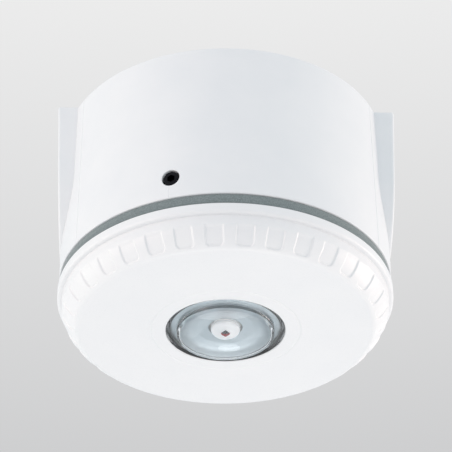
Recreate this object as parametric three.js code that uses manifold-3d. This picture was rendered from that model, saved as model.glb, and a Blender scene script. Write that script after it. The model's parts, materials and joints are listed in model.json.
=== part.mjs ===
// Ceiling-mounted LED visual alarm device: a bayonet head on a deep, sealed mounting base.
// Millimetres, +Z up. The origin is the centre of the base's back face, which lies on the ceiling,
// so the whole device hangs down into -Z. The two conduit bosses are on the X axis.

import * as THREE from "three";
import { mergeVertices } from "three/addons/utils/BufferGeometryUtils.js";
import Module from "manifold-3d";

// ---- Driving dimensions ----

const GAP = 0.3; // clearance between pieces that touch on the real device
const ROUND_STEPS = 64; // facets round a large turned piece
const MEDIUM_STEPS = 36; // facets round a medium turned piece
const SMALL_STEPS = 16; // facets round a small turned piece
const SCREW_STEPS = 10; // facets round a screw

// Base: a deep cup, open at the bottom, slightly wider at its rim for mould draft.
const BASE_TOP_RADIUS = 48.9;
const BASE_RIM_RADIUS = 49.67;
const BASE_DEPTH = 52.44;
const BASE_PLATE = 3.0;
const BASE_WALL = 2.5;
const BASE_INNER_TOP = BASE_TOP_RADIUS - BASE_WALL;
const BASE_INNER_RIM = BASE_RIM_RADIUS - BASE_WALL;

// Conduit bosses: flat pads with a round lower end, drafted by two degrees, drilled for 20 mm conduit.
const BOSS_HALF_WIDTH = 18.5;
const BOSS_ARCH_Z = -24.5;
const BOSS_FACE_X = 51.35;
const BOSS_DRAFT = THREE.MathUtils.degToRad(2);
const CONDUIT_Z = -22;
const CONDUIT_HOLE_RADIUS = 10.3;
const PLUG_RADIUS = CONDUIT_HOLE_RADIUS - GAP;
const PLUG_RECESS = 0.9;
const PLUG_FLANGE_RADIUS = PLUG_RADIUS + 2;
const PLUG_FLANGE_X = BASE_INNER_TOP - 2.2;
const PLUG_FLANGE_THICKNESS = 1.8;
const COIN_SLOT = { halfLength: 6, halfWidth: 0.8, depth: 1.2 };

// Ceiling fixings and the rear cable entry, all through the back plate.
const SLOT_OFFSET = 30;
const SLOT_LENGTH = 9;
const SLOT_WIDTH = 4.8;
const ENTRY_X = 17;
const ENTRY_Y = 9;
const ENTRY_RADIUS = 8.5;
const GROMMET_BORE = 3.6;
const GROMMET_FLANGE_RADIUS = 10.5;
const GROMMET_FLANGE_THICKNESS = 1.6;
const PILOT_RADIUS = 1.6;
const POST_PILOT_DEPTH = 9;

// Contact carrier: the plate that closes the wiring chamber and holds the bayonet ledges.
const CARRIER_RADIUS = 46.3;
const CARRIER_TOP_Z = -34.3;
const CARRIER_PLATE_Z = -36.5;
const SKIRT_INNER = 44.7;
const SKIRT_BOTTOM_Z = -47.2;
const LEDGE_INNER = 43.3;
const LEDGE_TOP_Z = -45.4;
const LEDGE_BOTTOM_Z = -46.8;
const LEDGE_HALF_DEG = 8;
const STOP_WIDTH_DEG = 3;
const STOP_PLAY_DEG = 0.9;
const BAYONET_DEG = [30, 150, 270];
const UNLOCK_DEG = 18;
const POST_RING_RADIUS = 38;
const POST_DEG = [90, 210, 330];
const POST_RADIUS = 3.5;
const WINDOW_HALF_X = 14;
const WINDOW_NEAR_Y = 8;
const WINDOW_FAR_Y = 17;
const CARRIER_SCREW = { head: 3.0, shank: 1.25, height: 1.8, hole: 2.0, reach: 7 };

// Terminals and spring contacts.
const TERMINALS = 6;
const TERMINAL_PITCH = 6.5;
const TERMINAL_HALF_X = (TERMINALS * TERMINAL_PITCH) / 2;
const TERMINAL_HALF_Y = 6;
const TERMINAL_BOTTOM_Z = -46.2;
const TERMINAL_WELL = { radius: 2.6, depth: 4 };
const TERMINAL_SCREW = { radius: 2.2, length: 3, sunk: 0.5, slotHalfWidth: 0.4 };
const WIRE_ENTRY = { halfX: 1.6, nearY: 3.2, lowZ: -41.6, topZ: -38.4 };
const CONTACT_RING_RADIUS = 28;
const CONTACT_DEG = [45, 135, 225, 315];
const PEDESTAL_Z = -40.9;
const PEDESTAL = { halfX: 3, nearY: 4.5, farY: 10.5 };
const FINGER_LOW_Z = -42.4;
const FINGER_TIP_Z = -41.7;
const SPRING_THICKNESS = 0.4;
const SPRING_HALF_WIDTH = 2;

// Locking screw: radial, through the base wall and the carrier's skirt.
const LOCK_DEG = -110.1;
const LOCK_Z = -45.4;
const LOCK_HOLE_RADIUS = 2.65;
const LOCK_RADIUS = 2.3;
const LOCK_OUTER = 49.2;
const LOCK_TIP = 45.0;
const LOCK_SOCKET = { radius: 1.1, depth: 1.6 };

// Foam seal between the base rim and the head rim.
const HEAD_TOP_Z = -56.05;
const SEAL_INNER = 46.9;
const SEAL_OUTER = 49.45;

// Head cover: a rim, a neck below it, a castellated bevel and a flat face with the lens hole.
const HEAD_RADIUS = 50;
const RIM_LOW_Z = -57.8;
const LEDGE_Z = -58.8;
const NECK_RADIUS = 48.4;
const NECK_LOW_Z = -62.1;
const BEVEL_LOW = { r: 46.24, z: -66.0 };
const ROUND_MIDDLE = { r: 45.47, z: -66.93 };
const ROUND_LOW = { r: 44.48, z: -67.5 };
const FACE_EDGE_RADIUS = 43.35;
const FACE_Z = -67.7;
const LIP_RADIUS = 21.6;
const LIP_Z = -67.78;
const LENS_HOLE_RADIUS = 17.67;
const COVER_INSIDE_Z = -65.5;
const COVER_INSIDE_RADIUS = 42.8;
const SPIGOT_OUTER = 46.5;
const SPIGOT_INNER = 44.9;
const SPIGOT_TOP_Z = -50.3;
const SPIGOT_LOW_Z = -62.0;
const COLUMN_RING_RADIUS = 39.5;
const COLUMN_RADIUS = 3.2;
const COLUMN_PILOT_DEPTH = 11;

// Castellations: shallow pockets whose flat floors run down the bevel from the neck to the round.
const CASTELLATIONS = 34;
const CASTELLATION_PHASE_DEG = 4.91;
const POCKET_FLOOR_TOP = { r: 48.4, z: -61.6 };
const POCKET_FLOOR_LOW = { r: 44.9, z: -67.1 };
const POCKET_HALF_WIDTH = 2.68;
const POCKET_CORNER = 1.3;

// Lens window: a flange behind the cover, a flush annulus and a crowned centre that stands proud.
const LENS_OUTER = LENS_HOLE_RADIUS - GAP;
const LENS_INNER = 16.6;
const LENS_FLANGE_RADIUS = 20.2;
const LENS_FLANGE_TOP_Z = -62.6;
const LENS_FLANGE_LOW_Z = -64.3;
const LENS_STEP_Z = -66.4;
const LENS_SEAL_INNER = 18.2;
const LENS_SEAL_OUTER = 19.6;
const CROWN_RADIUS = 14.4;
const CROWN_EDGE_Z = -69.4;
const CROWN_APEX_Z = -71.0;
const CROWN_WALL = 1.2;

// Light engine behind the lens.
const OPTIC_RADIUS = 4.3;
const OPTIC_BASE_RADIUS = 4.65;
const OPTIC_BASE_Z = -66.1;
const OPTIC_APEX_Z = -69.2;
const OPTIC_HOLLOW_RADIUS = 1.7;
const OPTIC_FLANGE_HEIGHT = 0.5;
const REFLECTOR_BORE = 4.95;
const REFLECTOR_RIM = 12.95;
const REFLECTOR_SEAT = 16.3;
const PACKAGE = { half: 3.2, lowZ: -65.8, topZ: -63.6 };
const DIE = { half: 0.9, lowZ: -66.5, topZ: -66.1 };
const LED_BOARD_RADIUS = 14.6;
const LED_BOARD_LOW_Z = -63.3;
const LED_BOARD_TOP_Z = -61.7;
const SPREADER_RADIUS = 22;
const SPREADER_LOW_Z = -61.4;
const SPREADER_TOP_Z = -59.4;
const SPREADER_SCREW_X = 25.5;
const SPREADER_EAR_RADIUS = 4.4;
const SPREADER_SCREW = { head: 2.5, shank: 1.2, height: 1.6 };
const CLAMP_RIM = { inner: 17.5, outer: 20 };
const HEAT_BOSS_RADIUS = 9;
const LED_SCREW_X = 11.5;
const LED_SCREW = { head: 1.9, shank: 1.0, height: 0.75, hole: 1.4 };
const LEAD_Y = 11;
const LEAD_BOARD_Y = 13.4;
const LEAD_RADIUS = 0.7;

// Driver electronics and the chassis that closes the back of the head.
const DRIVER_RADIUS = 35.8;
const DRIVER_LOW_Z = -55.2;
const DRIVER_TOP_Z = -53.6;
const CAPACITOR = { radius: 4, height: 7.5, x: 7, y: 28.5 };
const INDUCTOR = { half: 6, height: 6, y: -29, dimpleRadius: 4.2, dimpleDepth: 0.6 };
const CHIP = { lowX: 19, topX: 25, lowY: -22.5, topY: -17.5, height: 1.2 };
const CHASSIS_RADIUS = 46.2;
const CHASSIS_LOW_Z = -50.0;
const CHASSIS_TOP_Z = -48.0;
const LUG_TOP_Z = -43.6;
const LUG_LOW_Z = -45.0;
const LUG_OUTER = 44.3;
const LUG_HALF_DEG = 7;
const RISER_INNER = 41;
const RISER_OUTER = 43;
const BOARD_POST_RADIUS = 2;
const BOARD_POST_RING = 31;
const CHASSIS_SCREW = { head: 2.7, shank: 1.25, height: 1.7, hole: 1.8, reach: 9 };
const BLADE = { halfX: 2, nearY: -2.5, legY: -1.7, farY: 2.5, thickness: 0.6 };
const BLADE_SLOT = { halfX: 2.6, nearY: -3.1, farY: -1.1 };
const DIP_Y = 17;
const DIP_HALF_X = 5.6;
const DIP_HALF_Y = 3;
const DIP_TOP_Z = -49.2;
const DIP_PITCH = 2.54;
const DIP_TRAVEL = 1.4;
const DIP_SWITCHES = 4;
const DIP_SLOT = { halfX: 0.9, halfY: 1.75, depth: 1.6 };
const DIP_KNOB = { halfX: 0.55, halfY: 0.65, depth: 1.3, proud: 0.4 };

// ---- Geometry helpers ----

const wasm = await Module();
wasm.setup();

const radians = THREE.MathUtils.degToRad;

// A closed BufferGeometry as a solid, with its shared vertices merged and empty triangles dropped.
function solidOf(geometry) {
  const bare = new THREE.BufferGeometry();
  bare.setAttribute("position", geometry.getAttribute("position"));
  bare.setIndex(geometry.getIndex());
  const merged = mergeVertices(bare, 1e-4);
  const index = merged.index.array;
  const kept = [];
  for (let i = 0; i < index.length; i += 3) {
    const [a, b, c] = index.slice(i, i + 3);
    if (a !== b && b !== c && c !== a) kept.push(a, b, c);
  }
  const vertProperties = merged.attributes.position.array;
  const mesh = new wasm.Mesh({ numProp: 3, vertProperties, triVerts: new Uint32Array(kept) });
  return new wasm.Manifold(mesh);
}

function geometryOf(solid) {
  const mesh = solid.getMesh();
  const indexed = new THREE.BufferGeometry();
  indexed.setAttribute("position", new THREE.BufferAttribute(mesh.vertProperties, 3));
  indexed.setIndex(new THREE.BufferAttribute(mesh.triVerts, 1));
  const flat = indexed.toNonIndexed();
  flat.computeVertexNormals();
  return flat;
}

function join(first, ...others) {
  let solid = solidOf(first);
  for (const other of others) solid = solid.add(solidOf(other));
  return geometryOf(solid);
}

function cut(first, ...tools) {
  let solid = solidOf(first);
  for (const tool of tools) solid = solid.subtract(solidOf(tool));
  return geometryOf(solid);
}

// A turned piece about Z. The profile is a closed loop of [radius, z] points in either direction.
function turned(profile, steps = ROUND_STEPS) {
  let area = 0;
  profile.forEach(([r, z], i) => {
    const [nextR, nextZ] = profile[(i + 1) % profile.length];
    area += r * nextZ - nextR * z;
  });
  const loop = area > 0 ? [...profile] : [...profile].reverse();
  const points = [...loop, loop[0]].map(([r, z]) => new THREE.Vector2(r, z));
  const geometry = new THREE.LatheGeometry(points, steps);
  geometry.rotateX(Math.PI / 2);
  return geometry;
}

function cylinder(radius, lowZ, topZ, steps = SMALL_STEPS) {
  const geometry = new THREE.CylinderGeometry(radius, radius, topZ - lowZ, steps);
  geometry.rotateX(Math.PI / 2);
  geometry.translate(0, 0, (lowZ + topZ) / 2);
  return geometry;
}

function box(lowX, topX, lowY, topY, lowZ, topZ) {
  const geometry = new THREE.BoxGeometry(topX - lowX, topY - lowY, topZ - lowZ);
  geometry.translate((lowX + topX) / 2, (lowY + topY) / 2, (lowZ + topZ) / 2);
  return geometry;
}

function extruded(shape, lowZ, topZ, curveSegments = 8) {
  const depth = topZ - lowZ;
  const geometry = new THREE.ExtrudeGeometry(shape, { depth, bevelEnabled: false, curveSegments });
  geometry.translate(0, 0, lowZ);
  return geometry;
}

// A slice of a ring, centred on an angle measured from +X.
function ringSlice(innerRadius, outerRadius, lowZ, topZ, centreDeg, halfDeg, steps = 4) {
  const start = radians(centreDeg - halfDeg);
  const end = radians(centreDeg + halfDeg);
  const shape = new THREE.Shape();
  shape.absarc(0, 0, outerRadius, start, end, false);
  shape.absarc(0, 0, innerRadius, end, start, true);
  return extruded(shape, lowZ, topZ, steps);
}

function moved(geometry, x, y, z = 0) {
  geometry.translate(x, y, z);
  return geometry;
}

// Moves a piece made at the origin out to a radius and an angle, turned with that angle.
function placedRound(geometry, radius, deg) {
  geometry.translate(radius, 0, 0);
  geometry.rotateZ(radians(deg));
  return geometry;
}

// Points of a circular arc through the radius and z plane, from one angle to another.
function arcPoints(centreR, centreZ, radius, startDeg, endDeg, steps) {
  return Array.from({ length: steps + 1 }, (_, i) => {
    const angle = radians(startDeg + ((endDeg - startDeg) * i) / steps);
    return [centreR + radius * Math.cos(angle), centreZ + radius * Math.sin(angle)];
  });
}

// Points of a shallow spherical crown from its rim to its apex on the axis.
function crownPoints(rimRadius, rimZ, apexZ, steps) {
  const rise = apexZ - rimZ;
  return Array.from({ length: steps + 1 }, (_, i) => {
    const r = rimRadius * (1 - i / steps);
    return [r, rimZ + rise * (1 - (r / rimRadius) ** 2)];
  });
}

// A screw along Z with its head's driving side at headZ and its tip at tipZ, and a cross slot.
function screw({ head, shank, height }, seatZ, tipZ) {
  const up = Math.sign(tipZ - seatZ);
  const headZ = seatZ - up * height;
  const profile = [[0, headZ], [head, headZ], [head, seatZ], [shank, seatZ], [shank, tipZ], [0, tipZ]];
  const slotEnds = [headZ - up, headZ + up * height * 0.6];
  const lowZ = Math.min(...slotEnds);
  const topZ = Math.max(...slotEnds);
  const halfLength = head * 0.65;
  const halfWidth = head * 0.14;
  const across = box(-halfLength, halfLength, -halfWidth, halfWidth, lowZ, topZ);
  const along = box(-halfWidth, halfWidth, -halfLength, halfLength, lowZ, topZ);
  return cut(turned(profile, SCREW_STEPS), across, along);
}

// ---- Materials ----

function finish(color, roughness, metalness = 0) {
  return () => new THREE.MeshStandardMaterial({ color, roughness, metalness });
}

const whitePlastic = finish(0xeef1f4, 0.35);
const innerPlastic = finish(0xe2e4e2, 0.5);
const foam = finish(0x79868a, 0.95);
const blackRubber = finish(0x2b2d2f, 0.8);
const blackMetal = finish(0x101113, 0.35, 0.8);
const clearPlastic = () =>
  new THREE.MeshStandardMaterial({ color: 0xdfe8ee, roughness: 0.05, transparent: true, opacity: 0.35 });
const silver = finish(0xc9d2d8, 0.12, 1);
const opticResin = finish(0xf1f4f4, 0.15);
const ceramic = finish(0xf3f3ee, 0.5);
const dieRed = finish(0x5a1512, 0.4);
const whiteBoard = finish(0xf0f2f0, 0.45);
const aluminium = finish(0xa9adb0, 0.4, 1);
const greenBoard = finish(0x1f6b43, 0.45);
const steel = finish(0xb4b7ba, 0.3, 1);
const brass = finish(0xc2a35a, 0.3, 1);
const canBlack = finish(0x24272c, 0.45);
const ferrite = finish(0x3c3d40, 0.7);
const dipRed = finish(0xb3302b, 0.4);
const sliderWhite = finish(0xf5f5f2, 0.4);
const wireRed = finish(0xa8231d, 0.5);
const wireBlack = finish(0x1b1b1c, 0.5);

const device = new THREE.Group();

function piece(name, geometry, material, parent = device) {
  const mesh = new THREE.Mesh(geometry, material());
  mesh.name = name;
  parent.add(mesh);
  return mesh;
}

// ---- Base ----

// A boss blank along X: a rectangle with a round lower end, whose outer face leans with the draft.
function conduitBoss(side) {
  const shape = new THREE.Shape();
  shape.moveTo(BOSS_HALF_WIDTH, 0);
  shape.lineTo(-BOSS_HALF_WIDTH, 0);
  shape.lineTo(-BOSS_HALF_WIDTH, BOSS_ARCH_Z);
  shape.absarc(0, BOSS_ARCH_Z, BOSS_HALF_WIDTH, Math.PI, 2 * Math.PI, false);
  shape.closePath();
  const innerX = BASE_INNER_TOP - 3;
  const geometry = extruded(shape, innerX, BOSS_FACE_X, 10);
  geometry.rotateX(Math.PI / 2);
  geometry.rotateZ(Math.PI / 2);
  const position = geometry.getAttribute("position");
  for (let i = 0; i < position.count; i += 1) {
    const lean = position.getX(i) > BOSS_FACE_X - 1 ? Math.tan(BOSS_DRAFT) * position.getZ(i) : 0;
    position.setX(i, position.getX(i) + lean);
  }
  if (side < 0) geometry.rotateZ(Math.PI);
  return geometry;
}

function alongX(geometry) {
  geometry.rotateY(Math.PI / 2);
  return geometry;
}

function fixingSlot(y) {
  const reach = (SLOT_LENGTH - SLOT_WIDTH) / 2;
  const shape = new THREE.Shape();
  shape.absarc(reach, y, SLOT_WIDTH / 2, -Math.PI / 2, Math.PI / 2, false);
  shape.absarc(-reach, y, SLOT_WIDTH / 2, Math.PI / 2, (3 * Math.PI) / 2, false);
  return extruded(shape, -BASE_PLATE - 1, 1, 6);
}

function lockHole() {
  const hole = alongX(cylinder(LOCK_HOLE_RADIUS, LEDGE_INNER, HEAD_RADIUS + 1));
  hole.rotateZ(radians(LOCK_DEG));
  return moved(hole, 0, 0, LOCK_Z);
}

function baseShell() {
  const outside = turned([[0, 0], [BASE_TOP_RADIUS, 0], [BASE_RIM_RADIUS, -BASE_DEPTH], [0, -BASE_DEPTH]]);
  const inside = turned([
    [0, -BASE_PLATE],
    [BASE_INNER_TOP, -BASE_PLATE],
    [BASE_INNER_RIM, -BASE_DEPTH - 1],
    [0, -BASE_DEPTH - 1],
  ]);
  const conduitHole = alongX(cylinder(CONDUIT_HOLE_RADIUS, -60, 60, 24));
  const shell = cut(
    join(outside, conduitBoss(1), conduitBoss(-1)),
    inside,
    moved(conduitHole, 0, 0, CONDUIT_Z),
    fixingSlot(SLOT_OFFSET),
    fixingSlot(-SLOT_OFFSET),
    moved(cylinder(ENTRY_RADIUS, -BASE_PLATE - 1, 1, 24), ENTRY_X, ENTRY_Y),
    lockHole(),
  );
  const posts = POST_DEG.map((deg) => {
    const post = cylinder(POST_RADIUS, CARRIER_TOP_Z + GAP, -BASE_PLATE + 1);
    return placedRound(post, POST_RING_RADIUS, deg);
  });
  const pilots = POST_DEG.map((deg) => {
    const pilot = cylinder(PILOT_RADIUS, CARRIER_TOP_Z, CARRIER_TOP_Z + POST_PILOT_DEPTH, SCREW_STEPS);
    return placedRound(pilot, POST_RING_RADIUS, deg);
  });
  return cut(join(shell, ...posts), ...pilots);
}

// A push-in blanking plug: a round face with a coin slot, and a flange inside the chamber.
function conduitPlug(side) {
  const faceX = BOSS_FACE_X + Math.tan(BOSS_DRAFT) * CONDUIT_Z - PLUG_RECESS;
  const backX = PLUG_FLANGE_X - PLUG_FLANGE_THICKNESS;
  const profile = [
    [0, faceX],
    [PLUG_RADIUS, faceX],
    [PLUG_RADIUS, PLUG_FLANGE_X],
    [PLUG_FLANGE_RADIUS, PLUG_FLANGE_X],
    [PLUG_FLANGE_RADIUS, backX],
    [0, backX],
  ];
  const { halfLength, halfWidth, depth } = COIN_SLOT;
  const slot = box(-halfLength, halfLength, -halfWidth, halfWidth, faceX - depth, faceX + 1);
  const plug = alongX(cut(turned(profile, 24), slot));
  if (side < 0) plug.rotateZ(Math.PI);
  return moved(plug, 0, 0, CONDUIT_Z);
}

function cableGrommet() {
  const flangeTop = -BASE_PLATE - GAP;
  const profile = [
    [GROMMET_BORE, -0.4],
    [ENTRY_RADIUS - 0.4, -0.4],
    [ENTRY_RADIUS - 0.4, flangeTop],
    [GROMMET_FLANGE_RADIUS, flangeTop],
    [GROMMET_FLANGE_RADIUS, flangeTop - GROMMET_FLANGE_THICKNESS],
    [GROMMET_BORE, flangeTop - GROMMET_FLANGE_THICKNESS],
  ];
  return moved(turned(profile, SMALL_STEPS), ENTRY_X, ENTRY_Y);
}

function baseSeal() {
  const topZ = -BASE_DEPTH - GAP;
  const lowZ = HEAD_TOP_Z + GAP;
  return turned([[SEAL_INNER, topZ], [SEAL_OUTER, topZ], [SEAL_OUTER, lowZ], [SEAL_INNER, lowZ]]);
}

// ---- Contact carrier, terminals and springs ----

// A block between the ledges that a lug runs into at one end of the head's turn.
function bayonetStop(centreDeg) {
  const halfDeg = STOP_WIDTH_DEG / 2;
  const topZ = CARRIER_PLATE_Z + 0.5;
  return ringSlice(LEDGE_INNER, SKIRT_INNER + 0.5, LEDGE_BOTTOM_Z, topZ, centreDeg, halfDeg, 2);
}

// The ledges carry the head's lugs at rest. The stops end the head's turn at locked and at unlocked.
function contactCarrier() {
  const ring = turned([
    [0, CARRIER_TOP_Z],
    [CARRIER_RADIUS, CARRIER_TOP_Z],
    [CARRIER_RADIUS, SKIRT_BOTTOM_Z],
    [SKIRT_INNER, SKIRT_BOTTOM_Z],
    [SKIRT_INNER, CARRIER_PLATE_Z],
    [0, CARRIER_PLATE_Z],
  ], MEDIUM_STEPS);
  const ledges = BAYONET_DEG.map((deg) =>
    ringSlice(LEDGE_INNER, SKIRT_INNER + 0.5, LEDGE_BOTTOM_Z, LEDGE_TOP_Z, deg, LEDGE_HALF_DEG),
  );
  const stopAway = LUG_HALF_DEG + STOP_PLAY_DEG + STOP_WIDTH_DEG / 2;
  const lockedStops = BAYONET_DEG.map((deg) => bayonetStop(deg + stopAway));
  const unlockedStops = BAYONET_DEG.map((deg) => bayonetStop(deg - UNLOCK_DEG - stopAway));
  const pedestals = CONTACT_DEG.map((deg) => {
    const { halfX, nearY, farY } = PEDESTAL;
    const block = box(-halfX, halfX, nearY, farY, PEDESTAL_Z, CARRIER_PLATE_Z + 0.5);
    return placedRound(block, CONTACT_RING_RADIUS, deg);
  });
  const screwHoles = POST_DEG.map((deg) => {
    const hole = cylinder(CARRIER_SCREW.hole, CARRIER_PLATE_Z - 1, CARRIER_TOP_Z + 1, SCREW_STEPS);
    return placedRound(hole, POST_RING_RADIUS, deg);
  });
  const lowZ = CARRIER_PLATE_Z - 1;
  const topZ = CARRIER_TOP_Z + 1;
  const frontWindow = box(-WINDOW_HALF_X, WINDOW_HALF_X, -WINDOW_FAR_Y, -WINDOW_NEAR_Y, lowZ, topZ);
  const rearWindow = box(-WINDOW_HALF_X, WINDOW_HALF_X, WINDOW_NEAR_Y, WINDOW_FAR_Y, lowZ, topZ);
  const whole = join(ring, ...ledges, ...lockedStops, ...unlockedStops, ...pedestals);
  return cut(whole, frontWindow, rearWindow, lockHole(), ...screwHoles);
}

function terminalX(index) {
  return (index - (TERMINALS - 1) / 2) * TERMINAL_PITCH;
}

function terminalBlock() {
  const topZ = CARRIER_PLATE_Z - GAP;
  const farY = TERMINAL_HALF_Y + 1;
  const [halfWide, halfDeep] = [TERMINAL_HALF_X, TERMINAL_HALF_Y];
  const body = box(-halfWide, halfWide, -halfDeep, halfDeep, TERMINAL_BOTTOM_Z, topZ);
  const { halfX, nearY, lowZ, topZ: entryTopZ } = WIRE_ENTRY;
  const tools = [];
  for (let i = 0; i < TERMINALS; i += 1) {
    const x = terminalX(i);
    const wellTopZ = TERMINAL_BOTTOM_Z + TERMINAL_WELL.depth;
    tools.push(moved(cylinder(TERMINAL_WELL.radius, TERMINAL_BOTTOM_Z - 1, wellTopZ, SCREW_STEPS), x, 0));
    tools.push(box(x - halfX, x + halfX, -farY, -nearY, lowZ, entryTopZ));
    tools.push(box(x - halfX, x + halfX, nearY, farY, lowZ, entryTopZ));
  }
  return cut(body, ...tools);
}

function terminalScrew() {
  const { radius, length, sunk, slotHalfWidth } = TERMINAL_SCREW;
  const lowZ = TERMINAL_BOTTOM_Z + sunk;
  const body = cylinder(radius, lowZ, lowZ + length, SCREW_STEPS);
  return cut(body, box(-radius - 1, radius + 1, -slotHalfWidth, slotHalfWidth, lowZ - 1, lowZ + 1));
}

// A leaf spring seen edge on: a flat foot under the pedestal and a finger bowed down to the blade.
function contactSpring() {
  const footZ = PEDESTAL_Z - GAP;
  const bowZ = FINGER_LOW_Z + SPRING_THICKNESS;
  const top = [[10.2, footZ], [4.8, footZ], [0.8, bowZ], [-0.8, bowZ], [-2.4, FINGER_TIP_Z]];
  const under = top.map(([u, z]) => [u, z - SPRING_THICKNESS]).reverse();
  const shape = new THREE.Shape([...top, ...under].map(([u, z]) => new THREE.Vector2(u, z)));
  const geometry = extruded(shape, -SPRING_HALF_WIDTH, SPRING_HALF_WIDTH);
  geometry.rotateX(Math.PI / 2);
  geometry.rotateZ(Math.PI / 2);
  return geometry;
}

function lockingScrew() {
  const profile = [[0, LOCK_OUTER], [LOCK_RADIUS - 0.4, LOCK_OUTER], [LOCK_RADIUS, LOCK_OUTER - 0.4]];
  profile.push([LOCK_RADIUS, LOCK_TIP + 0.8], [LOCK_RADIUS - 0.8, LOCK_TIP], [0, LOCK_TIP]);
  const socket = cylinder(LOCK_SOCKET.radius, LOCK_OUTER - LOCK_SOCKET.depth, LOCK_OUTER + 1, 6);
  const grub = alongX(cut(turned(profile, SMALL_STEPS), socket));
  grub.rotateZ(radians(LOCK_DEG));
  return moved(grub, 0, 0, LOCK_Z);
}

function addBase() {
  piece("base_shell", baseShell(), whitePlastic);
  piece("base_seal", baseSeal(), foam);
  piece("conduit_plug_left", conduitPlug(-1), whitePlastic);
  piece("conduit_plug_right", conduitPlug(1), whitePlastic);
  piece("cable_grommet", cableGrommet(), blackRubber);
  piece("contact_carrier", contactCarrier(), innerPlastic);
  piece("terminal_block", terminalBlock(), innerPlastic);
  piece("locking_screw", lockingScrew(), blackMetal);
  for (let i = 0; i < TERMINALS; i += 1) {
    const mesh = piece(`terminal_screw_${i + 1}`, terminalScrew(), steel);
    mesh.position.x = terminalX(i);
  }
  CONTACT_DEG.forEach((deg, i) => {
    piece(`contact_spring_${i + 1}`, placedRound(contactSpring(), CONTACT_RING_RADIUS, deg), brass);
  });
  POST_DEG.forEach((deg, i) => {
    const seatZ = CARRIER_PLATE_Z - GAP;
    const geometry = screw(CARRIER_SCREW, seatZ, CARRIER_TOP_Z + CARRIER_SCREW.reach);
    piece(`carrier_screw_${i + 1}`, placedRound(geometry, POST_RING_RADIUS, deg), steel);
  });
}

// ---- Head cover ----

// A cutter for one pocket, lying on the pocket's floor with its rounded end at the low end.
function pocketCutter(deg) {
  const alongR = POCKET_FLOOR_TOP.r - POCKET_FLOOR_LOW.r;
  const alongZ = POCKET_FLOOR_TOP.z - POCKET_FLOOR_LOW.z;
  const slope = Math.hypot(alongR, alongZ);
  const cornerX = POCKET_HALF_WIDTH - POCKET_CORNER;
  const shape = new THREE.Shape();
  shape.moveTo(-POCKET_HALF_WIDTH, slope + 0.5);
  shape.lineTo(-POCKET_HALF_WIDTH, POCKET_CORNER);
  shape.absarc(-cornerX, POCKET_CORNER, POCKET_CORNER, Math.PI, 1.5 * Math.PI, false);
  shape.absarc(cornerX, POCKET_CORNER, POCKET_CORNER, 1.5 * Math.PI, 2 * Math.PI, false);
  shape.lineTo(POCKET_HALF_WIDTH, slope + 0.5);
  shape.closePath();
  const geometry = extruded(shape, 0, 2, 1);
  const sideways = new THREE.Vector3(0, 1, 0);
  const upSlope = new THREE.Vector3(alongR / slope, 0, alongZ / slope);
  const outward = new THREE.Vector3().crossVectors(sideways, upSlope);
  const place = new THREE.Matrix4().makeBasis(sideways, upSlope, outward);
  place.setPosition(POCKET_FLOOR_LOW.r, 0, POCKET_FLOOR_LOW.z);
  geometry.applyMatrix4(place);
  geometry.rotateZ(radians(deg));
  return geometry;
}

function headCover() {
  const shell = turned(
    [
      [LENS_HOLE_RADIUS, LIP_Z],
      [LIP_RADIUS, LIP_Z],
      [LIP_RADIUS + 0.6, FACE_Z],
      [FACE_EDGE_RADIUS, FACE_Z],
      [ROUND_LOW.r, ROUND_LOW.z],
      [ROUND_MIDDLE.r, ROUND_MIDDLE.z],
      [BEVEL_LOW.r, BEVEL_LOW.z],
      [NECK_RADIUS, NECK_LOW_Z],
      [NECK_RADIUS, LEDGE_Z],
      [HEAD_RADIUS - 0.9, LEDGE_Z],
      [HEAD_RADIUS, RIM_LOW_Z],
      [HEAD_RADIUS, HEAD_TOP_Z],
      [SPIGOT_OUTER, HEAD_TOP_Z],
      [SPIGOT_OUTER, SPIGOT_TOP_Z],
      [SPIGOT_INNER, SPIGOT_TOP_Z],
      [SPIGOT_INNER, SPIGOT_LOW_Z],
      [COVER_INSIDE_RADIUS, COVER_INSIDE_Z],
      [LENS_HOLE_RADIUS, COVER_INSIDE_Z],
    ],
    CASTELLATIONS * 3,
  );
  shell.rotateZ(radians(CASTELLATION_PHASE_DEG));
  const columns = POST_DEG.map((deg) => {
    const column = cylinder(COLUMN_RADIUS, COVER_INSIDE_Z - 0.5, SPIGOT_TOP_Z, 12);
    return placedRound(column, COLUMN_RING_RADIUS, deg);
  });
  const stubs = [0, 180].map((deg) => {
    const stub = cylinder(COLUMN_RADIUS, COVER_INSIDE_Z - 0.5, SPREADER_LOW_Z - GAP, 12);
    return placedRound(stub, SPREADER_SCREW_X, deg);
  });
  const pilots = POST_DEG.map((deg) => {
    const pilot = cylinder(PILOT_RADIUS, SPIGOT_TOP_Z - COLUMN_PILOT_DEPTH, SPIGOT_TOP_Z + 1, SCREW_STEPS);
    return placedRound(pilot, COLUMN_RING_RADIUS, deg);
  });
  const stubPilots = [0, 180].map((deg) => {
    const pilot = cylinder(PILOT_RADIUS, COVER_INSIDE_Z + 0.6, SPREADER_LOW_Z + 1, SCREW_STEPS);
    return placedRound(pilot, SPREADER_SCREW_X, deg);
  });
  const pitch = 360 / CASTELLATIONS;
  const pockets = Array.from({ length: CASTELLATIONS }, (_, i) =>
    pocketCutter(CASTELLATION_PHASE_DEG - 90 + i * pitch),
  );
  return cut(join(shell, ...columns, ...stubs), ...pilots, ...stubPilots, ...pockets);
}

// ---- Lens and light engine ----

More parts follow.
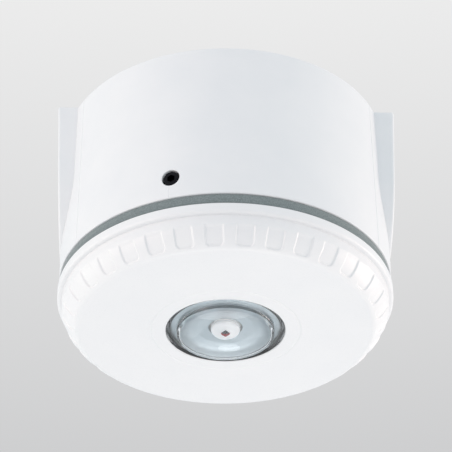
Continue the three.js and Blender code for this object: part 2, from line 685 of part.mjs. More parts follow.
function lensWindow() {
  const crown = crownPoints(CROWN_RADIUS - 1, CROWN_EDGE_Z - 0.25, CROWN_APEX_Z, 5);
  const innerRadius = CROWN_RADIUS - CROWN_WALL;
  const hollow = crownPoints(innerRadius, CROWN_EDGE_Z + CROWN_WALL, CROWN_APEX_Z + CROWN_WALL, 3);
  return turned(
    [
      [LENS_INNER, LENS_FLANGE_TOP_Z],
      [LENS_FLANGE_RADIUS, LENS_FLANGE_TOP_Z],
      [LENS_FLANGE_RADIUS, LENS_FLANGE_LOW_Z],
      [LENS_OUTER, LENS_FLANGE_LOW_Z],
      [LENS_OUTER, LIP_Z],
      [LENS_INNER, LIP_Z],
      [CROWN_RADIUS, LIP_Z - 0.2],
      ...arcPoints(CROWN_RADIUS - 0.9, CROWN_EDGE_Z + 0.6, 0.9, 0, -75, 2),
      ...crown,
      ...hollow.reverse(),
      [innerRadius + 0.2, LENS_STEP_Z - 0.2],
      [LENS_INNER, LENS_STEP_Z],
    ],
    MEDIUM_STEPS,
  );
}

function lensSeal() {
  const topZ = LENS_FLANGE_LOW_Z - GAP;
  const lowZ = COVER_INSIDE_Z + GAP;
  const profile = [
    [LENS_SEAL_INNER, topZ],
    [LENS_SEAL_OUTER, topZ],
    [LENS_SEAL_OUTER, lowZ],
    [LENS_SEAL_INNER, lowZ],
  ];
  return turned(profile, MEDIUM_STEPS);
}

function reflector() {
  return turned(
    [
      [REFLECTOR_BORE, -65.6],
      [REFLECTOR_BORE, -66.3],
      [8.5, -66.35],
      [11.2, -66.95],
      [REFLECTOR_RIM - 0.25, -67.9],
      [REFLECTOR_RIM, -67.9],
      [REFLECTOR_RIM, -66.1],
      [REFLECTOR_SEAT, -66.1],
      [REFLECTOR_SEAT, -65.5],
      [11.2, -65.5],
      [8.5, -65.6],
    ],
    MEDIUM_STEPS,
  );
}

function ledOptic() {
  const dome = crownPoints(OPTIC_RADIUS, OPTIC_BASE_Z - 1, OPTIC_APEX_Z, 4);
  const flangeZ = OPTIC_BASE_Z - OPTIC_FLANGE_HEIGHT;
  const hollowZ = OPTIC_BASE_Z - 0.9;
  return turned(
    [
      [OPTIC_HOLLOW_RADIUS, OPTIC_BASE_Z],
      [OPTIC_BASE_RADIUS, OPTIC_BASE_Z],
      [OPTIC_BASE_RADIUS, flangeZ],
      [OPTIC_BASE_RADIUS - 0.35, flangeZ],
      [OPTIC_BASE_RADIUS - 0.35, OPTIC_BASE_Z - 1],
      ...dome,
      [0, hollowZ],
      [OPTIC_HOLLOW_RADIUS, hollowZ],
    ],
    SMALL_STEPS,
  );
}

function ledBoard() {
  const board = cylinder(LED_BOARD_RADIUS, LED_BOARD_LOW_Z, LED_BOARD_TOP_Z, MEDIUM_STEPS);
  const holes = [LED_SCREW_X, -LED_SCREW_X].map((x) =>
    moved(cylinder(LED_SCREW.hole, LED_BOARD_LOW_Z - 1, LED_BOARD_TOP_Z + 1, SCREW_STEPS), x, 0),
  );
  return cut(board, ...holes);
}

// The spreader clamps the lens flange with its rim and carries the light engine's heat upwards.
function heatSpreader() {
  const plate = turned(
    [
      [0, SPREADER_LOW_Z],
      [CLAMP_RIM.inner, SPREADER_LOW_Z],
      [CLAMP_RIM.inner, LENS_FLANGE_TOP_Z + GAP],
      [CLAMP_RIM.outer, LENS_FLANGE_TOP_Z + GAP],
      [CLAMP_RIM.outer, SPREADER_LOW_Z],
      [SPREADER_RADIUS, SPREADER_LOW_Z],
      [SPREADER_RADIUS, SPREADER_TOP_Z],
      [HEAT_BOSS_RADIUS, SPREADER_TOP_Z],
      [HEAT_BOSS_RADIUS, DRIVER_LOW_Z - GAP],
      [0, DRIVER_LOW_Z - GAP],
    ],
    MEDIUM_STEPS,
  );
  const ears = [SPREADER_SCREW_X, -SPREADER_SCREW_X].map((x) =>
    moved(cylinder(SPREADER_EAR_RADIUS, SPREADER_LOW_Z, SPREADER_TOP_Z, SMALL_STEPS), x, 0),
  );
  const holes = [];
  for (const side of [1, -1]) {
    const lowZ = SPREADER_LOW_Z - 1;
    const topZ = SPREADER_TOP_Z + 1;
    holes.push(moved(cylinder(PILOT_RADIUS, lowZ, topZ, SCREW_STEPS), side * SPREADER_SCREW_X, 0));
    holes.push(moved(cylinder(LED_SCREW.hole, lowZ, topZ, SCREW_STEPS), side * LED_SCREW_X, 0));
    holes.push(moved(cylinder(LEAD_RADIUS + 0.9, lowZ, topZ, SCREW_STEPS), 0, side * LEAD_Y));
  }
  return cut(join(plate, ...ears), ...holes);
}

// A lead from the LED board through the spreader, bent outwards to the driver board.
function ledLead(side) {
  const points = [
    [LEAD_Y, SPREADER_LOW_Z],
    [LEAD_Y, -60.2],
    [LEAD_Y, -59],
    [LEAD_BOARD_Y - 1, -57.4],
    [LEAD_BOARD_Y, -56.6],
    [LEAD_BOARD_Y, DRIVER_LOW_Z - GAP],
  ];
  const curve = new THREE.CatmullRomCurve3(points.map(([y, z]) => new THREE.Vector3(0, side * y, z)));
  const section = new THREE.Shape();
  section.absarc(0, 0, LEAD_RADIUS, 0, 2 * Math.PI, false);
  return new THREE.ExtrudeGeometry(section, { steps: 9, curveSegments: 3, extrudePath: curve });
}

function squareBlock({ half, lowZ, topZ }) {
  return box(-half, half, -half, half, lowZ, topZ);
}

function addLightEngine() {
  piece("lens_window", lensWindow(), clearPlastic);
  piece("lens_seal", lensSeal(), blackRubber);
  piece("reflector", join(reflector()), silver);
  piece("led_optic", ledOptic(), opticResin);
  piece("led_package", squareBlock(PACKAGE), ceramic);
  piece("led_die", squareBlock(DIE), dieRed);
  piece("led_board", ledBoard(), whiteBoard);
  piece("heat_spreader", heatSpreader(), aluminium);
  [LED_SCREW_X, -LED_SCREW_X].forEach((x, i) => {
    const seatZ = LED_BOARD_LOW_Z - GAP;
    const geometry = screw(LED_SCREW, seatZ, SPREADER_TOP_Z + 0.5);
    piece(`led_board_screw_${i + 1}`, moved(geometry, x, 0), steel);
  });
  [SPREADER_SCREW_X, -SPREADER_SCREW_X].forEach((x, i) => {
    const seatZ = SPREADER_TOP_Z + GAP;
    const geometry = screw(SPREADER_SCREW, seatZ, COVER_INSIDE_Z + 1);
    piece(`spreader_screw_${i + 1}`, moved(geometry, x, 0), steel);
  });
  piece("led_lead_positive", ledLead(1), wireRed);
  piece("led_lead_negative", ledLead(-1), wireBlack);
}

// ---- Driver electronics ----

// A round electrolytic capacitor hanging from the board, with its crimped neck.
function capacitor() {
  const { radius, height } = CAPACITOR;
  const topZ = DRIVER_LOW_Z - GAP;
  const profile = [
    [0, topZ],
    [radius, topZ],
    [radius, topZ - 1],
    [radius - 0.4, topZ - 1.4],
    [radius, topZ - 1.8],
    [radius, topZ - height + 0.3],
    [radius - 0.3, topZ - height],
    [0, topZ - height],
  ];
  return turned(profile, SMALL_STEPS);
}

function dipSlotX(index) {
  return (index - (DIP_SWITCHES - 1) / 2) * DIP_PITCH;
}

function dipBody() {
  const lowZ = DRIVER_TOP_Z + GAP;
  const body = box(-DIP_HALF_X, DIP_HALF_X, DIP_Y - DIP_HALF_Y, DIP_Y + DIP_HALF_Y, lowZ, DIP_TOP_Z);
  const slots = Array.from({ length: DIP_SWITCHES }, (_, i) => {
    const { halfX, halfY, depth } = DIP_SLOT;
    const x = dipSlotX(i);
    return box(x - halfX, x + halfX, DIP_Y - halfY, DIP_Y + halfY, DIP_TOP_Z - depth, DIP_TOP_Z + 1);
  });
  return cut(body, ...slots);
}

function dipSlider(index) {
  const x = dipSlotX(index);
  const restY = DIP_Y - DIP_TRAVEL / 2;
  const { halfX, halfY, depth, proud } = DIP_KNOB;
  return box(x - halfX, x + halfX, restY - halfY, restY + halfY, DIP_TOP_Z - depth, DIP_TOP_Z + proud);
}

function addElectronics() {
  piece("driver_board", join(cylinder(DRIVER_RADIUS, DRIVER_LOW_Z, DRIVER_TOP_Z, MEDIUM_STEPS)), greenBoard);
  const partTop = DRIVER_LOW_Z - GAP;
  [-CAPACITOR.x, CAPACITOR.x].forEach((x, i) => {
    piece(`capacitor_${i + 1}`, moved(join(capacitor()), x, CAPACITOR.y), canBlack);
  });
  const { half, height, y, dimpleRadius, dimpleDepth } = INDUCTOR;
  const core = box(-half, half, y - half, y + half, partTop - height, partTop);
  const dimple = cylinder(dimpleRadius, partTop - height - 1, partTop - height + dimpleDepth);
  piece("inductor", cut(core, moved(dimple, 0, y)), ferrite);
  const chip = box(CHIP.lowX, CHIP.topX, CHIP.lowY, CHIP.topY, partTop - CHIP.height, partTop);
  piece("driver_chip", chip, canBlack);
  piece("dip_switch_body", dipBody(), dipRed);
  for (let i = 0; i < DIP_SWITCHES; i += 1) {
    piece(`dip_slider_${i + 1}`, dipSlider(i), sliderWhite);
  }
}

// ---- Chassis and contact blades ----

function bayonetLug(deg) {
  const riser = ringSlice(RISER_INNER, RISER_OUTER, CHASSIS_TOP_Z - 0.5, LUG_TOP_Z, deg, LUG_HALF_DEG + 1);
  const tab = ringSlice(RISER_OUTER - 0.5, LUG_OUTER, LUG_LOW_Z, LUG_TOP_Z, deg, LUG_HALF_DEG);
  return join(riser, tab);
}

function headChassis() {
  const plate = cylinder(CHASSIS_RADIUS, CHASSIS_LOW_Z, CHASSIS_TOP_Z, MEDIUM_STEPS);
  const lugs = BAYONET_DEG.map(bayonetLug);
  const boardPosts = BAYONET_DEG.map((deg) => {
    const post = cylinder(BOARD_POST_RADIUS, DRIVER_TOP_Z + GAP, CHASSIS_LOW_Z + 0.5, SCREW_STEPS);
    return placedRound(post, BOARD_POST_RING, deg);
  });
  const screwHoles = POST_DEG.map((deg) => {
    const hole = cylinder(CHASSIS_SCREW.hole, CHASSIS_LOW_Z - 1, CHASSIS_TOP_Z + 1, SCREW_STEPS);
    return placedRound(hole, COLUMN_RING_RADIUS, deg);
  });
  const bladeSlots = CONTACT_DEG.map((deg) => {
    const { halfX, nearY, farY } = BLADE_SLOT;
    const slot = box(-halfX, halfX, nearY, farY, CHASSIS_LOW_Z - 1, CHASSIS_TOP_Z + 1);
    return placedRound(slot, CONTACT_RING_RADIUS, deg);
  });
  const window = box(
    -DIP_HALF_X - 0.5,
    DIP_HALF_X + 0.5,
    DIP_Y - DIP_HALF_Y - 0.5,
    DIP_Y + DIP_HALF_Y + 0.5,
    CHASSIS_LOW_Z - 1,
    CHASSIS_TOP_Z + 1,
  );
  return cut(join(plate, ...lugs, ...boardPosts), window, ...screwHoles, ...bladeSlots);
}

// A bent blade: a leg from the driver board through the chassis, and a pad under the spring.
function contactBlade() {
  const { halfX, nearY, legY, farY, thickness } = BLADE;
  const topZ = FINGER_LOW_Z - GAP - 0.1;
  const leg = box(-halfX, halfX, nearY, legY, DRIVER_TOP_Z + GAP, topZ);
  const pad = box(-halfX, halfX, nearY, farY, topZ - thickness, topZ);
  return join(leg, pad);
}

function addChassis() {
  piece("head_chassis", headChassis(), innerPlastic);
  CONTACT_DEG.forEach((deg, i) => {
    piece(`contact_blade_${i + 1}`, placedRound(contactBlade(), CONTACT_RING_RADIUS, deg), brass);
  });
  POST_DEG.forEach((deg, i) => {
    const seatZ = CHASSIS_TOP_Z + GAP;
    const geometry = screw(CHASSIS_SCREW, seatZ, SPIGOT_TOP_Z - CHASSIS_SCREW.reach);
    piece(`chassis_screw_${i + 1}`, placedRound(geometry, COLUMN_RING_RADIUS, deg), steel);
  });
}

addBase();
piece("head_cover", headCover(), whitePlastic);
addLightEngine();
addElectronics();
addChassis();

export default device;
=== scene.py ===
import json
import math

import bmesh
import bpy
import numpy as np
from mathutils import Matrix, Vector

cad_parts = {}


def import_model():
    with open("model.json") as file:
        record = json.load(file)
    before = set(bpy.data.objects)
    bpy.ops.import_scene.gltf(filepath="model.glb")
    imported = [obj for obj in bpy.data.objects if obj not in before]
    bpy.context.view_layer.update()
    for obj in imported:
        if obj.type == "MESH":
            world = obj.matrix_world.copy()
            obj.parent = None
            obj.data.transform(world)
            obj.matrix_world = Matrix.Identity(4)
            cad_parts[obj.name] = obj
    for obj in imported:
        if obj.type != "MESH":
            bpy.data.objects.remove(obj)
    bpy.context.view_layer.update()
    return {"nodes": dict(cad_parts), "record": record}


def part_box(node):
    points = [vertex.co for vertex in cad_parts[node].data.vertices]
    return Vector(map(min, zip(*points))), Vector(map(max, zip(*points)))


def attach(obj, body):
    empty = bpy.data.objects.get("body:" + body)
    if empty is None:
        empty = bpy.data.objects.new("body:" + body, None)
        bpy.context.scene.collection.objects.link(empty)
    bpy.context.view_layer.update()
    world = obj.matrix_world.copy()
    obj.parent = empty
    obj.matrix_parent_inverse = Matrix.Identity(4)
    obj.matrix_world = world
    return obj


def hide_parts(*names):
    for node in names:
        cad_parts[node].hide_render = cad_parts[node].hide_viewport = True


# Looks for a ceiling visual alarm device. Profiles below are in millimetres, in the CAD frame:
# +Z up, the ceiling at z = 0, the conduit bosses on the X axis. Meshes are made in metres.

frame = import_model()

MM = 0.001


def node_box(node):
    """Lowest and highest corner of a CAD node, in millimetres."""
    low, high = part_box(node)
    return low / MM, high / MM


# ---- Sizes taken from the frame ----

BASE_LOW, BASE_HIGH = node_box("base_shell")
BASE_RIM_RADIUS = BASE_HIGH.y
BASE_RIM_Z = BASE_LOW.z
BOSS_FACE_X = BASE_HIGH.x
COVER_LOW, COVER_HIGH = node_box("head_cover")
HEAD_RADIUS = COVER_HIGH.x
SPIGOT_TOP_Z = COVER_HIGH.z
LIP_Z = COVER_LOW.z
SEAL_RADIUS = node_box("base_seal")[1].y
LENS_LOW, LENS_HIGH = node_box("lens_window")
LENS_APEX_Z = LENS_LOW.z
OPTIC_LOW, OPTIC_HIGH = node_box("led_optic")
LOCK_LOW, LOCK_HIGH = node_box("locking_screw")
GROMMET_LOW, GROMMET_HIGH = node_box("cable_grommet")
PLUG_LOW, PLUG_HIGH = node_box("conduit_plug_right")

# ---- Driving dimensions of the visible shapes, in millimetres ----

# Base shell: a drafted cup with a pad on each side for conduit.
BASE_TOP_RADIUS = 48.9
BASE_WALL = 2.5
BASE_PLATE = 3.0
BOSS_TOP_Z = -0.015
BOSS_HALF_WIDTH = 18.5
BOSS_ARCH_Z = -24.5
BOSS_DRAFT = math.radians(2)
BOSS_EDGE = 0.7
CONDUIT_HOLE_RADIUS = 10.3
SLOT_OFFSET = 30
SLOT_LENGTH = 9
SLOT_WIDTH = 4.8
ENTRY_RADIUS = 8.5
POST_DEG = (90, 210, 330)
POST_RING_RADIUS = 38
POST_RADIUS = 3.5
POST_LOW_Z = -34.0
PILOT_RADIUS = 1.6

# Locking screw: radial, at an angle from +X.
LOCK_DEG = -110.1
LOCK_HOLE_RADIUS = 2.65
LOCK_RADIUS = 2.42
LOCK_OUTER = 49.2
LOCK_TIP = 45.0
LOCK_SOCKET = 1.25
LOCK_SOCKET_DEPTH = 1.8

# Fine lines down the wall. The seam runs from the locking screw's hole to the rim.
MOULD_LINES_DEG = (-152.5, -27.5)
SEAM_DEG = -110.5
LINE_HALF_WIDTH = 0.17
MOULD_LINE_DEPTH = 0.2
SEAM_DEPTH = 0.12

# Seal, conduit plugs and grommet. Moulded parts in holes have a small fit gap.
SEAL_INNER = 46.9
SEAL_JOINT_DEPTH = 0.06
FIT_GAP = 0.12
PLUG_RECESS_RIM = 2.0
PLUG_FLANGE = 2.0
PLUG_FLANGE_THICKNESS = 1.8
COIN_SLOT = (5.4, 0.8, 1.9)
GROMMET_BORE = 3.6

# Head cover, from its rim down the neck and the bevel to the face.
HEAD_TOP_Z = -56.05
LEDGE_Z = -58.98
NECK_RADIUS = 48.5
BEVEL_CURVE = ((48.45, -61.9), (48.4, -63.5), (45.2, -67.7), (43.2, -67.7))
FACE_Z = -67.7
LIP_RADIUS = 21.6
LIP_GROOVE = 0.5
LIP_GROOVE_DEPTH = 0.12
LENS_HOLE_RADIUS = 17.67
COVER_WALL = 2.2
COVER_CORE_RADIUS = 42.8
COVER_CORE_TOP_Z = -62.0
SPIGOT_OUTER = 46.5
SPIGOT_INNER = 44.9

# Castellation pockets in the bevel. The floor points set where they begin and end.
CASTELLATIONS = 34
CASTELLATION_PHASE_DEG = 4.91 - 90
POCKET_FLOOR_TOP = (48.4, -61.6)
POCKET_FLOOR_LOW = (44.9, -67.1)
POCKET_HALF_WIDTH = 2.55
POCKET_CORNER = 1.3
POCKET_WALL = 0.6
POCKET_DEPTH = 0.42
POCKET_FADE = 1.6

# Lens and reflector.
CROWN_RADIUS = 14.4
CROWN_EDGE_Z = -69.4
CROWN_WALL = 0.7
LENS_WALL = 1.4
LENS_INNER = 16.6
LENS_FLANGE = 1.7
REFLECTOR_BORE = 4.95
REFLECTOR_RIM = 13.45
REFLECTOR_RIM_Z = -68.2
REFLECTOR_SEAT = 16.3
REFLECTOR_TOP_Z = -65.5

# LED: the clear dome, the white dome inside it and the chips.
OPTIC_HEIGHT = OPTIC_HIGH.z - OPTIC_LOW.z
DOME_SHOULDER = 1.0
INNER_DOME_RADIUS = 4.0
INNER_DOME_HEIGHT = 1.0
INNER_DOME_RISE = 0.3
CHIP_SIZE = 0.85
CHIP_GAP = 0.04
CHIP_LOW_Z = -68.0

# ---- Mesh making ----


def rounded(corners, closed=True, support=0.06):
    """A profile from (r, z, radius) corners. Each round is an arc with a support point past either end."""
    out = []
    count = len(corners)
    for i, (r, z, radius) in enumerate(corners):
        here = np.array([r, z], float)
        open_end = not closed and i in (0, count - 1)
        if radius <= 0 or open_end:
            out.append(here)
            continue
        before = np.array(corners[i - 1][:2], float) - here
        after = np.array(corners[(i + 1) % count][:2], float) - here
        room = 0.48 * min(np.linalg.norm(before), np.linalg.norm(after))
        before /= np.linalg.norm(before)
        after /= np.linalg.norm(after)
        half = math.acos(np.clip(before @ after, -1, 1)) / 2
        reach = min(radius / math.tan(half), room)
        radius = reach * math.tan(half)
        middle = before + after
        centre = here + middle / np.linalg.norm(middle) * radius / math.sin(half)
        start = here + before * reach
        end = here + after * reach
        steps = max(2, int(math.ceil((math.pi - 2 * half) / math.radians(15))))
        out.append(start + before * min(support, room - reach + 1e-4))
        first = start - centre
        last = end - centre
        turn = math.atan2(first[0] * last[1] - first[1] * last[0], first @ last)
        for k in range(steps + 1):
            a = turn * k / steps
            spin = np.array([[math.cos(a), -math.sin(a)], [math.sin(a), math.cos(a)]])
            out.append(centre + spin @ first)
        out.append(end + after * min(support, room - reach + 1e-4))
    return np.array(out)


def mesh_from(name, points, faces):
    mesh = bpy.data.meshes.new(name)
    mesh.from_pydata([tuple(p) for p in np.asarray(points) * MM], [], faces)
    mesh.validate()
    mesh.update()
    mesh.shade_smooth()
    return mesh


def link(name, mesh):
    obj = bpy.data.objects.new(name, mesh)
    bpy.context.scene.collection.objects.link(obj)
    return obj


def even_angles(steps):
    return np.arange(steps) * 2 * math.pi / steps


def revolved(profile, angles, displace=None):
    """Points and faces of a closed profile turned about Z. A profile end on the axis becomes a pole."""
    profile = np.asarray(profile, float)
    poles = profile[0][0] < 1e-9 and profile[-1][0] < 1e-9
    area = np.sum(profile[:, 0] * np.roll(profile[:, 1], -1) - np.roll(profile[:, 0], -1) * profile[:, 1])
    if area < 0:
        profile = profile[::-1]
    rings = profile[1:-1] if poles else profile
    rows, columns = len(rings), len(angles)
    r = np.repeat(rings[:, 0][:, None], columns, 1)
    z = np.repeat(rings[:, 1][:, None], columns, 1)
    if displace is not None:
        r, z = displace(r, z, np.repeat(angles[None, :], rows, 0))
    points = np.stack([r * np.cos(angles), r * np.sin(angles), z], -1).reshape(-1, 3)
    index = np.arange(rows * columns).reshape(rows, columns)
    following = np.roll(index, -1, 1)
    pairs = range(rows - 1) if poles else range(rows)
    faces = []
    for i in pairs:
        j = (i + 1) % rows
        quads = np.stack([index[i], following[i], following[j], index[j]], -1)
        faces.extend(quads.tolist())
    if poles:
        first, last = len(points), len(points) + 1
        points = np.vstack([points, [0, 0, profile[0][1]], [0, 0, profile[-1][1]]])
        faces.extend([[first, following[0][k], index[0][k]] for k in range(columns)])
        faces.extend([[last, index[-1][k], following[-1][k]] for k in range(columns)])
    return points, [[int(v) for v in face] for face in faces]


def turned(name, profile, steps=192, displace=None, angles=None):
    """A turned piece about Z as an object."""
    angles = even_angles(steps) if angles is None else angles
    points, faces = revolved(profile, angles, displace)
    return link(name, mesh_from(name, points, faces))


def move(obj, offset=(0, 0, 0), turn=None):
    """Moves the vertices of an object: first the turn, then the offset in millimetres."""
    matrix = Matrix.Translation(Vector(offset) * MM) @ (turn or Matrix.Identity(4))
    obj.data.transform(matrix)
    return obj


def along_x():
    return Matrix.Rotation(math.pi / 2, 4, "Y")


def about_z(deg):
    return Matrix.Rotation(math.radians(deg), 4, "Z")


def loft(name, loops):
    """A closed piece from equal loops of points, capped flat at both ends."""
    count = len(loops[0])
    points = [p for loop in loops for p in loop]
    faces = [list(range(count))[::-1]]
    for k in range(len(loops) - 1):
        for i in range(count):
            j = (i + 1) % count
            faces.append([k * count + i, k * count + j, (k + 1) * count + j, (k + 1) * count + i])
    faces.append([(len(loops) - 1) * count + i for i in range(count)])
    obj = link(name, mesh_from(name, points, faces))
    outward(obj)
    return obj


def outward(obj):
    bm = bmesh.new()
    bm.from_mesh(obj.data)
    bmesh.ops.recalc_face_normals(bm, faces=bm.faces)
    bm.to_mesh(obj.data)
    bm.free()


def block(name, low, high, edge=0.15, steps=3):
    """A box with rounded edges."""
    bm = bmesh.new()
    bmesh.ops.create_cube(bm, size=1)
    low, high = Vector(low), Vector(high)
    for v in bm.verts:
        v.co = Vector([(low[k] if v.co[k] < 0 else high[k]) * MM for k in range(3)])
    bmesh.ops.bevel(bm, geom=bm.edges[:], offset=edge * MM, segments=steps, profile=0.5, affect="EDGES")
    mesh = bpy.data.meshes.new(name)
    bm.to_mesh(mesh)
    bm.free()
    mesh.shade_smooth()
    return link(name, mesh)


def applied(obj):
    """Replaces an object's mesh by its evaluated one, with its modifiers applied."""
    graph = bpy.context.evaluated_depsgraph_get()
    graph.update()
    mesh = bpy.data.meshes.new_from_object(obj.evaluated_get(graph))
    obj.modifiers.clear()
    obj.data = mesh
    return obj


def boolean(obj, tool, operation):
    change = obj.modifiers.new(operation, "BOOLEAN")
    change.operation = operation
    change.solver = "MANIFOLD"
    change.object = tool
    applied(obj)
    bpy.data.objects.remove(tool)
    return obj


def cut(obj, *tools):
    for tool in tools:
        boolean(obj, tool, "DIFFERENCE")
    return obj


def join(obj, *others):
    for other in others:
        boolean(obj, other, "UNION")
    return obj


def sharpen(obj, deg=32):
    """Smooth shading, split where faces meet at more than this angle."""
    obj.data.shade_smooth()
    obj.data.set_sharp_from_angle(angle=math.radians(deg))
    return obj


# ---- Materials ----


def new_material(name):
    material = bpy.data.materials.new(name)
    material.use_nodes = True
    nodes = material.node_tree.nodes
    return material, nodes, material.node_tree.links, nodes["Principled BSDF"]


def object_noise(nodes, links, scale, detail=4.0, roughness=0.55):
    place = nodes.new("ShaderNodeTexCoord")
    noise = nodes.new("ShaderNodeTexNoise")
    noise.inputs["Scale"].default_value = scale
    noise.inputs["Detail"].default_value = detail
    noise.inputs["Roughness"].default_value = roughness
    links.new(place.outputs["Object"], noise.inputs["Vector"])
    return noise


def colour_ramp(nodes, links, source, low, high, start=0.3, end=0.7):
    ramp = nodes.new("ShaderNodeValToRGB")
    ramp.color_ramp.elements[0].position = start
    ramp.color_ramp.elements[0].color = (*low, 1)
    ramp.color_ramp.elements[1].position = end
    ramp.color_ramp.elements[1].color = (*high, 1)
    links.new(source.outputs["Fac"], ramp.inputs["Fac"])
    return ramp


def value_range(nodes, links, source, low, high):
    remap = nodes.new("ShaderNodeMapRange")
    remap.inputs["From Min"].default_value = 0.3
    remap.inputs["From Max"].default_value = 0.7
    remap.inputs["To Min"].default_value = low
    remap.inputs["To Max"].default_value = high
    links.new(source.outputs["Fac"], remap.inputs["Value"])
    return remap


def bump(nodes, links, source, shader, strength, distance_mm):
    node = nodes.new("ShaderNodeBump")
    node.inputs["Strength"].default_value = strength
    node.inputs["Distance"].default_value = distance_mm * MM
    links.new(source.outputs["Fac"], node.inputs["Height"])
    links.new(node.outputs["Normal"], shader.inputs["Normal"])
    return node


def surface(name, colour, tint, rough, grain, grain_mm, slow=60, metallic=0.0):
    """A solid material. Its colour drifts slowly towards tint, its roughness lies in the range rough,
    and grain is the strength of a fine bump whose features are grain_mm across."""
    material, nodes, links, shader = new_material(name)
    drift = object_noise(nodes, links, slow, 3)
    ramp = colour_ramp(nodes, links, drift, colour, tint)
    links.new(ramp.outputs["Color"], shader.inputs["Base Color"])
    fine = object_noise(nodes, links, 1 / (grain_mm * MM), 3)
    spread = value_range(nodes, links, fine, *rough)
    links.new(spread.outputs["Result"], shader.inputs["Roughness"])
    bump(nodes, links, fine, shader, grain, grain_mm * 0.2)
    shader.inputs["Metallic"].default_value = metallic
    return material


def housing_white():
    return surface("housing_white", (0.86, 0.872, 0.885), (0.83, 0.848, 0.866), (0.34, 0.46), 0.12, 0.22)


def head_white():
    return surface("head_white", (0.875, 0.882, 0.892), (0.858, 0.868, 0.882), (0.26, 0.36), 0.08, 0.2)


def foam():
    """Closed-cell foam: a speckled grey-green skin with open pores."""
    material, nodes, links, shader = new_material("seal_foam")
    cells = object_noise(nodes, links, 2600, 5, 0.7)
    ramp = colour_ramp(nodes, links, cells, (0.142, 0.176, 0.18), (0.27, 0.315, 0.319), 0.33, 0.68)
    links.new(ramp.outputs["Color"], shader.inputs["Base Color"])
    pores = object_noise(nodes, links, 4200, 6, 0.75)
    spread = value_range(nodes, links, pores, 0.82, 0.97)
    links.new(spread.outputs["Result"], shader.inputs["Roughness"])
    bump(nodes, links, pores, shader, 0.7, 0.12)
    shader.inputs["Sheen Weight"].default_value = 0.5
    shader.inputs["Sheen Roughness"].default_value = 0.4
    return material


def clear(name, tint, ior, rough):
    """Clear moulded plastic with very faint flow marks. Light from lamps passes straight through
    to what is behind it."""
    material, nodes, links, shader = new_material(name)
    shader.inputs["Base Color"].default_value = (*tint, 1)
    shader.inputs["Transmission Weight"].default_value = 1.0
    shader.inputs["IOR"].default_value = ior
    flow = object_noise(nodes, links, 120, 2)
    spread = value_range(nodes, links, flow, *rough)
    links.new(spread.outputs["Result"], shader.inputs["Roughness"])
    bump(nodes, links, flow, shader, 0.04, 0.3)
    passing = nodes.new("ShaderNodeBsdfTransparent")
    passing.inputs["Color"].default_value = (*[0.93 * t for t in tint], 1)
    rays = nodes.new("ShaderNodeLightPath")
    mix = nodes.new("ShaderNodeMixShader")
    links.new(rays.outputs["Is Shadow Ray"], mix.inputs["Fac"])
    links.new(shader.outputs["BSDF"], mix.inputs[1])
    links.new(passing.outputs["BSDF"], mix.inputs[2])
    links.new(mix.outputs["Shader"], nodes["Material Output"].inputs["Surface"])
    return material


def metal(name, colour, tint, rough, grain_mm=0.12, grain=0.15):
    return surface(name, colour, tint, rough, grain, grain_mm, 400, metallic=1.0)


def die():
    """The LED's chips: near black, with a red tint on the far ones."""
    material, nodes, links, shader = new_material("led_die_red")
    place = nodes.new("ShaderNodeTexCoord")
    split = nodes.new("ShaderNodeSeparateXYZ")
    links.new(place.outputs["Object"], split.inputs["Vector"])
    ramp = nodes.new("ShaderNodeValToRGB")
    ramp.color_ramp.elements[0].position = 0.0
    ramp.color_ramp.elements[0].color = (0.008, 0.008, 0.014, 1)
    ramp.color_ramp.elements[1].position = 1.0
    ramp.color_ramp.elements[1].color = (0.42, 0.012, 0.012, 1)
    reach = nodes.new("ShaderNodeMapRange")
    reach.inputs["From Min"].default_value = -0.45 * MM
    reach.inputs["From Max"].default_value = -0.1 * MM
    links.new(split.outputs["Y"], reach.inputs["Value"])
    links.new(reach.outputs["Result"], ramp.inputs["Fac"])
    links.new(ramp.outputs["Color"], shader.inputs["Base Color"])
    grain = object_noise(nodes, links, 5000)
    links.new(value_range(nodes, links, grain, 0.5, 0.65).outputs["Result"], shader.inputs["Roughness"])
    shader.inputs["Specular IOR Level"].default_value = 0.15
    return material


def carrier_white():
    """The LED's white carrier. Its faint glow is painted light, which brightens it under its dome."""
    colour, tint = (0.96, 0.96, 0.965), (0.94, 0.945, 0.95)
    material = surface("led_ceramic", colour, tint, (0.3, 0.42), 0.1, 0.1)
    shader = material.node_tree.nodes["Principled BSDF"]
    # painted light: a faint glow that brightens the white carrier under the dome
    shader.inputs["Emission Color"].default_value = (0.95, 0.98, 1, 1)
    shader.inputs["Emission Strength"].default_value = 0.25
    return material


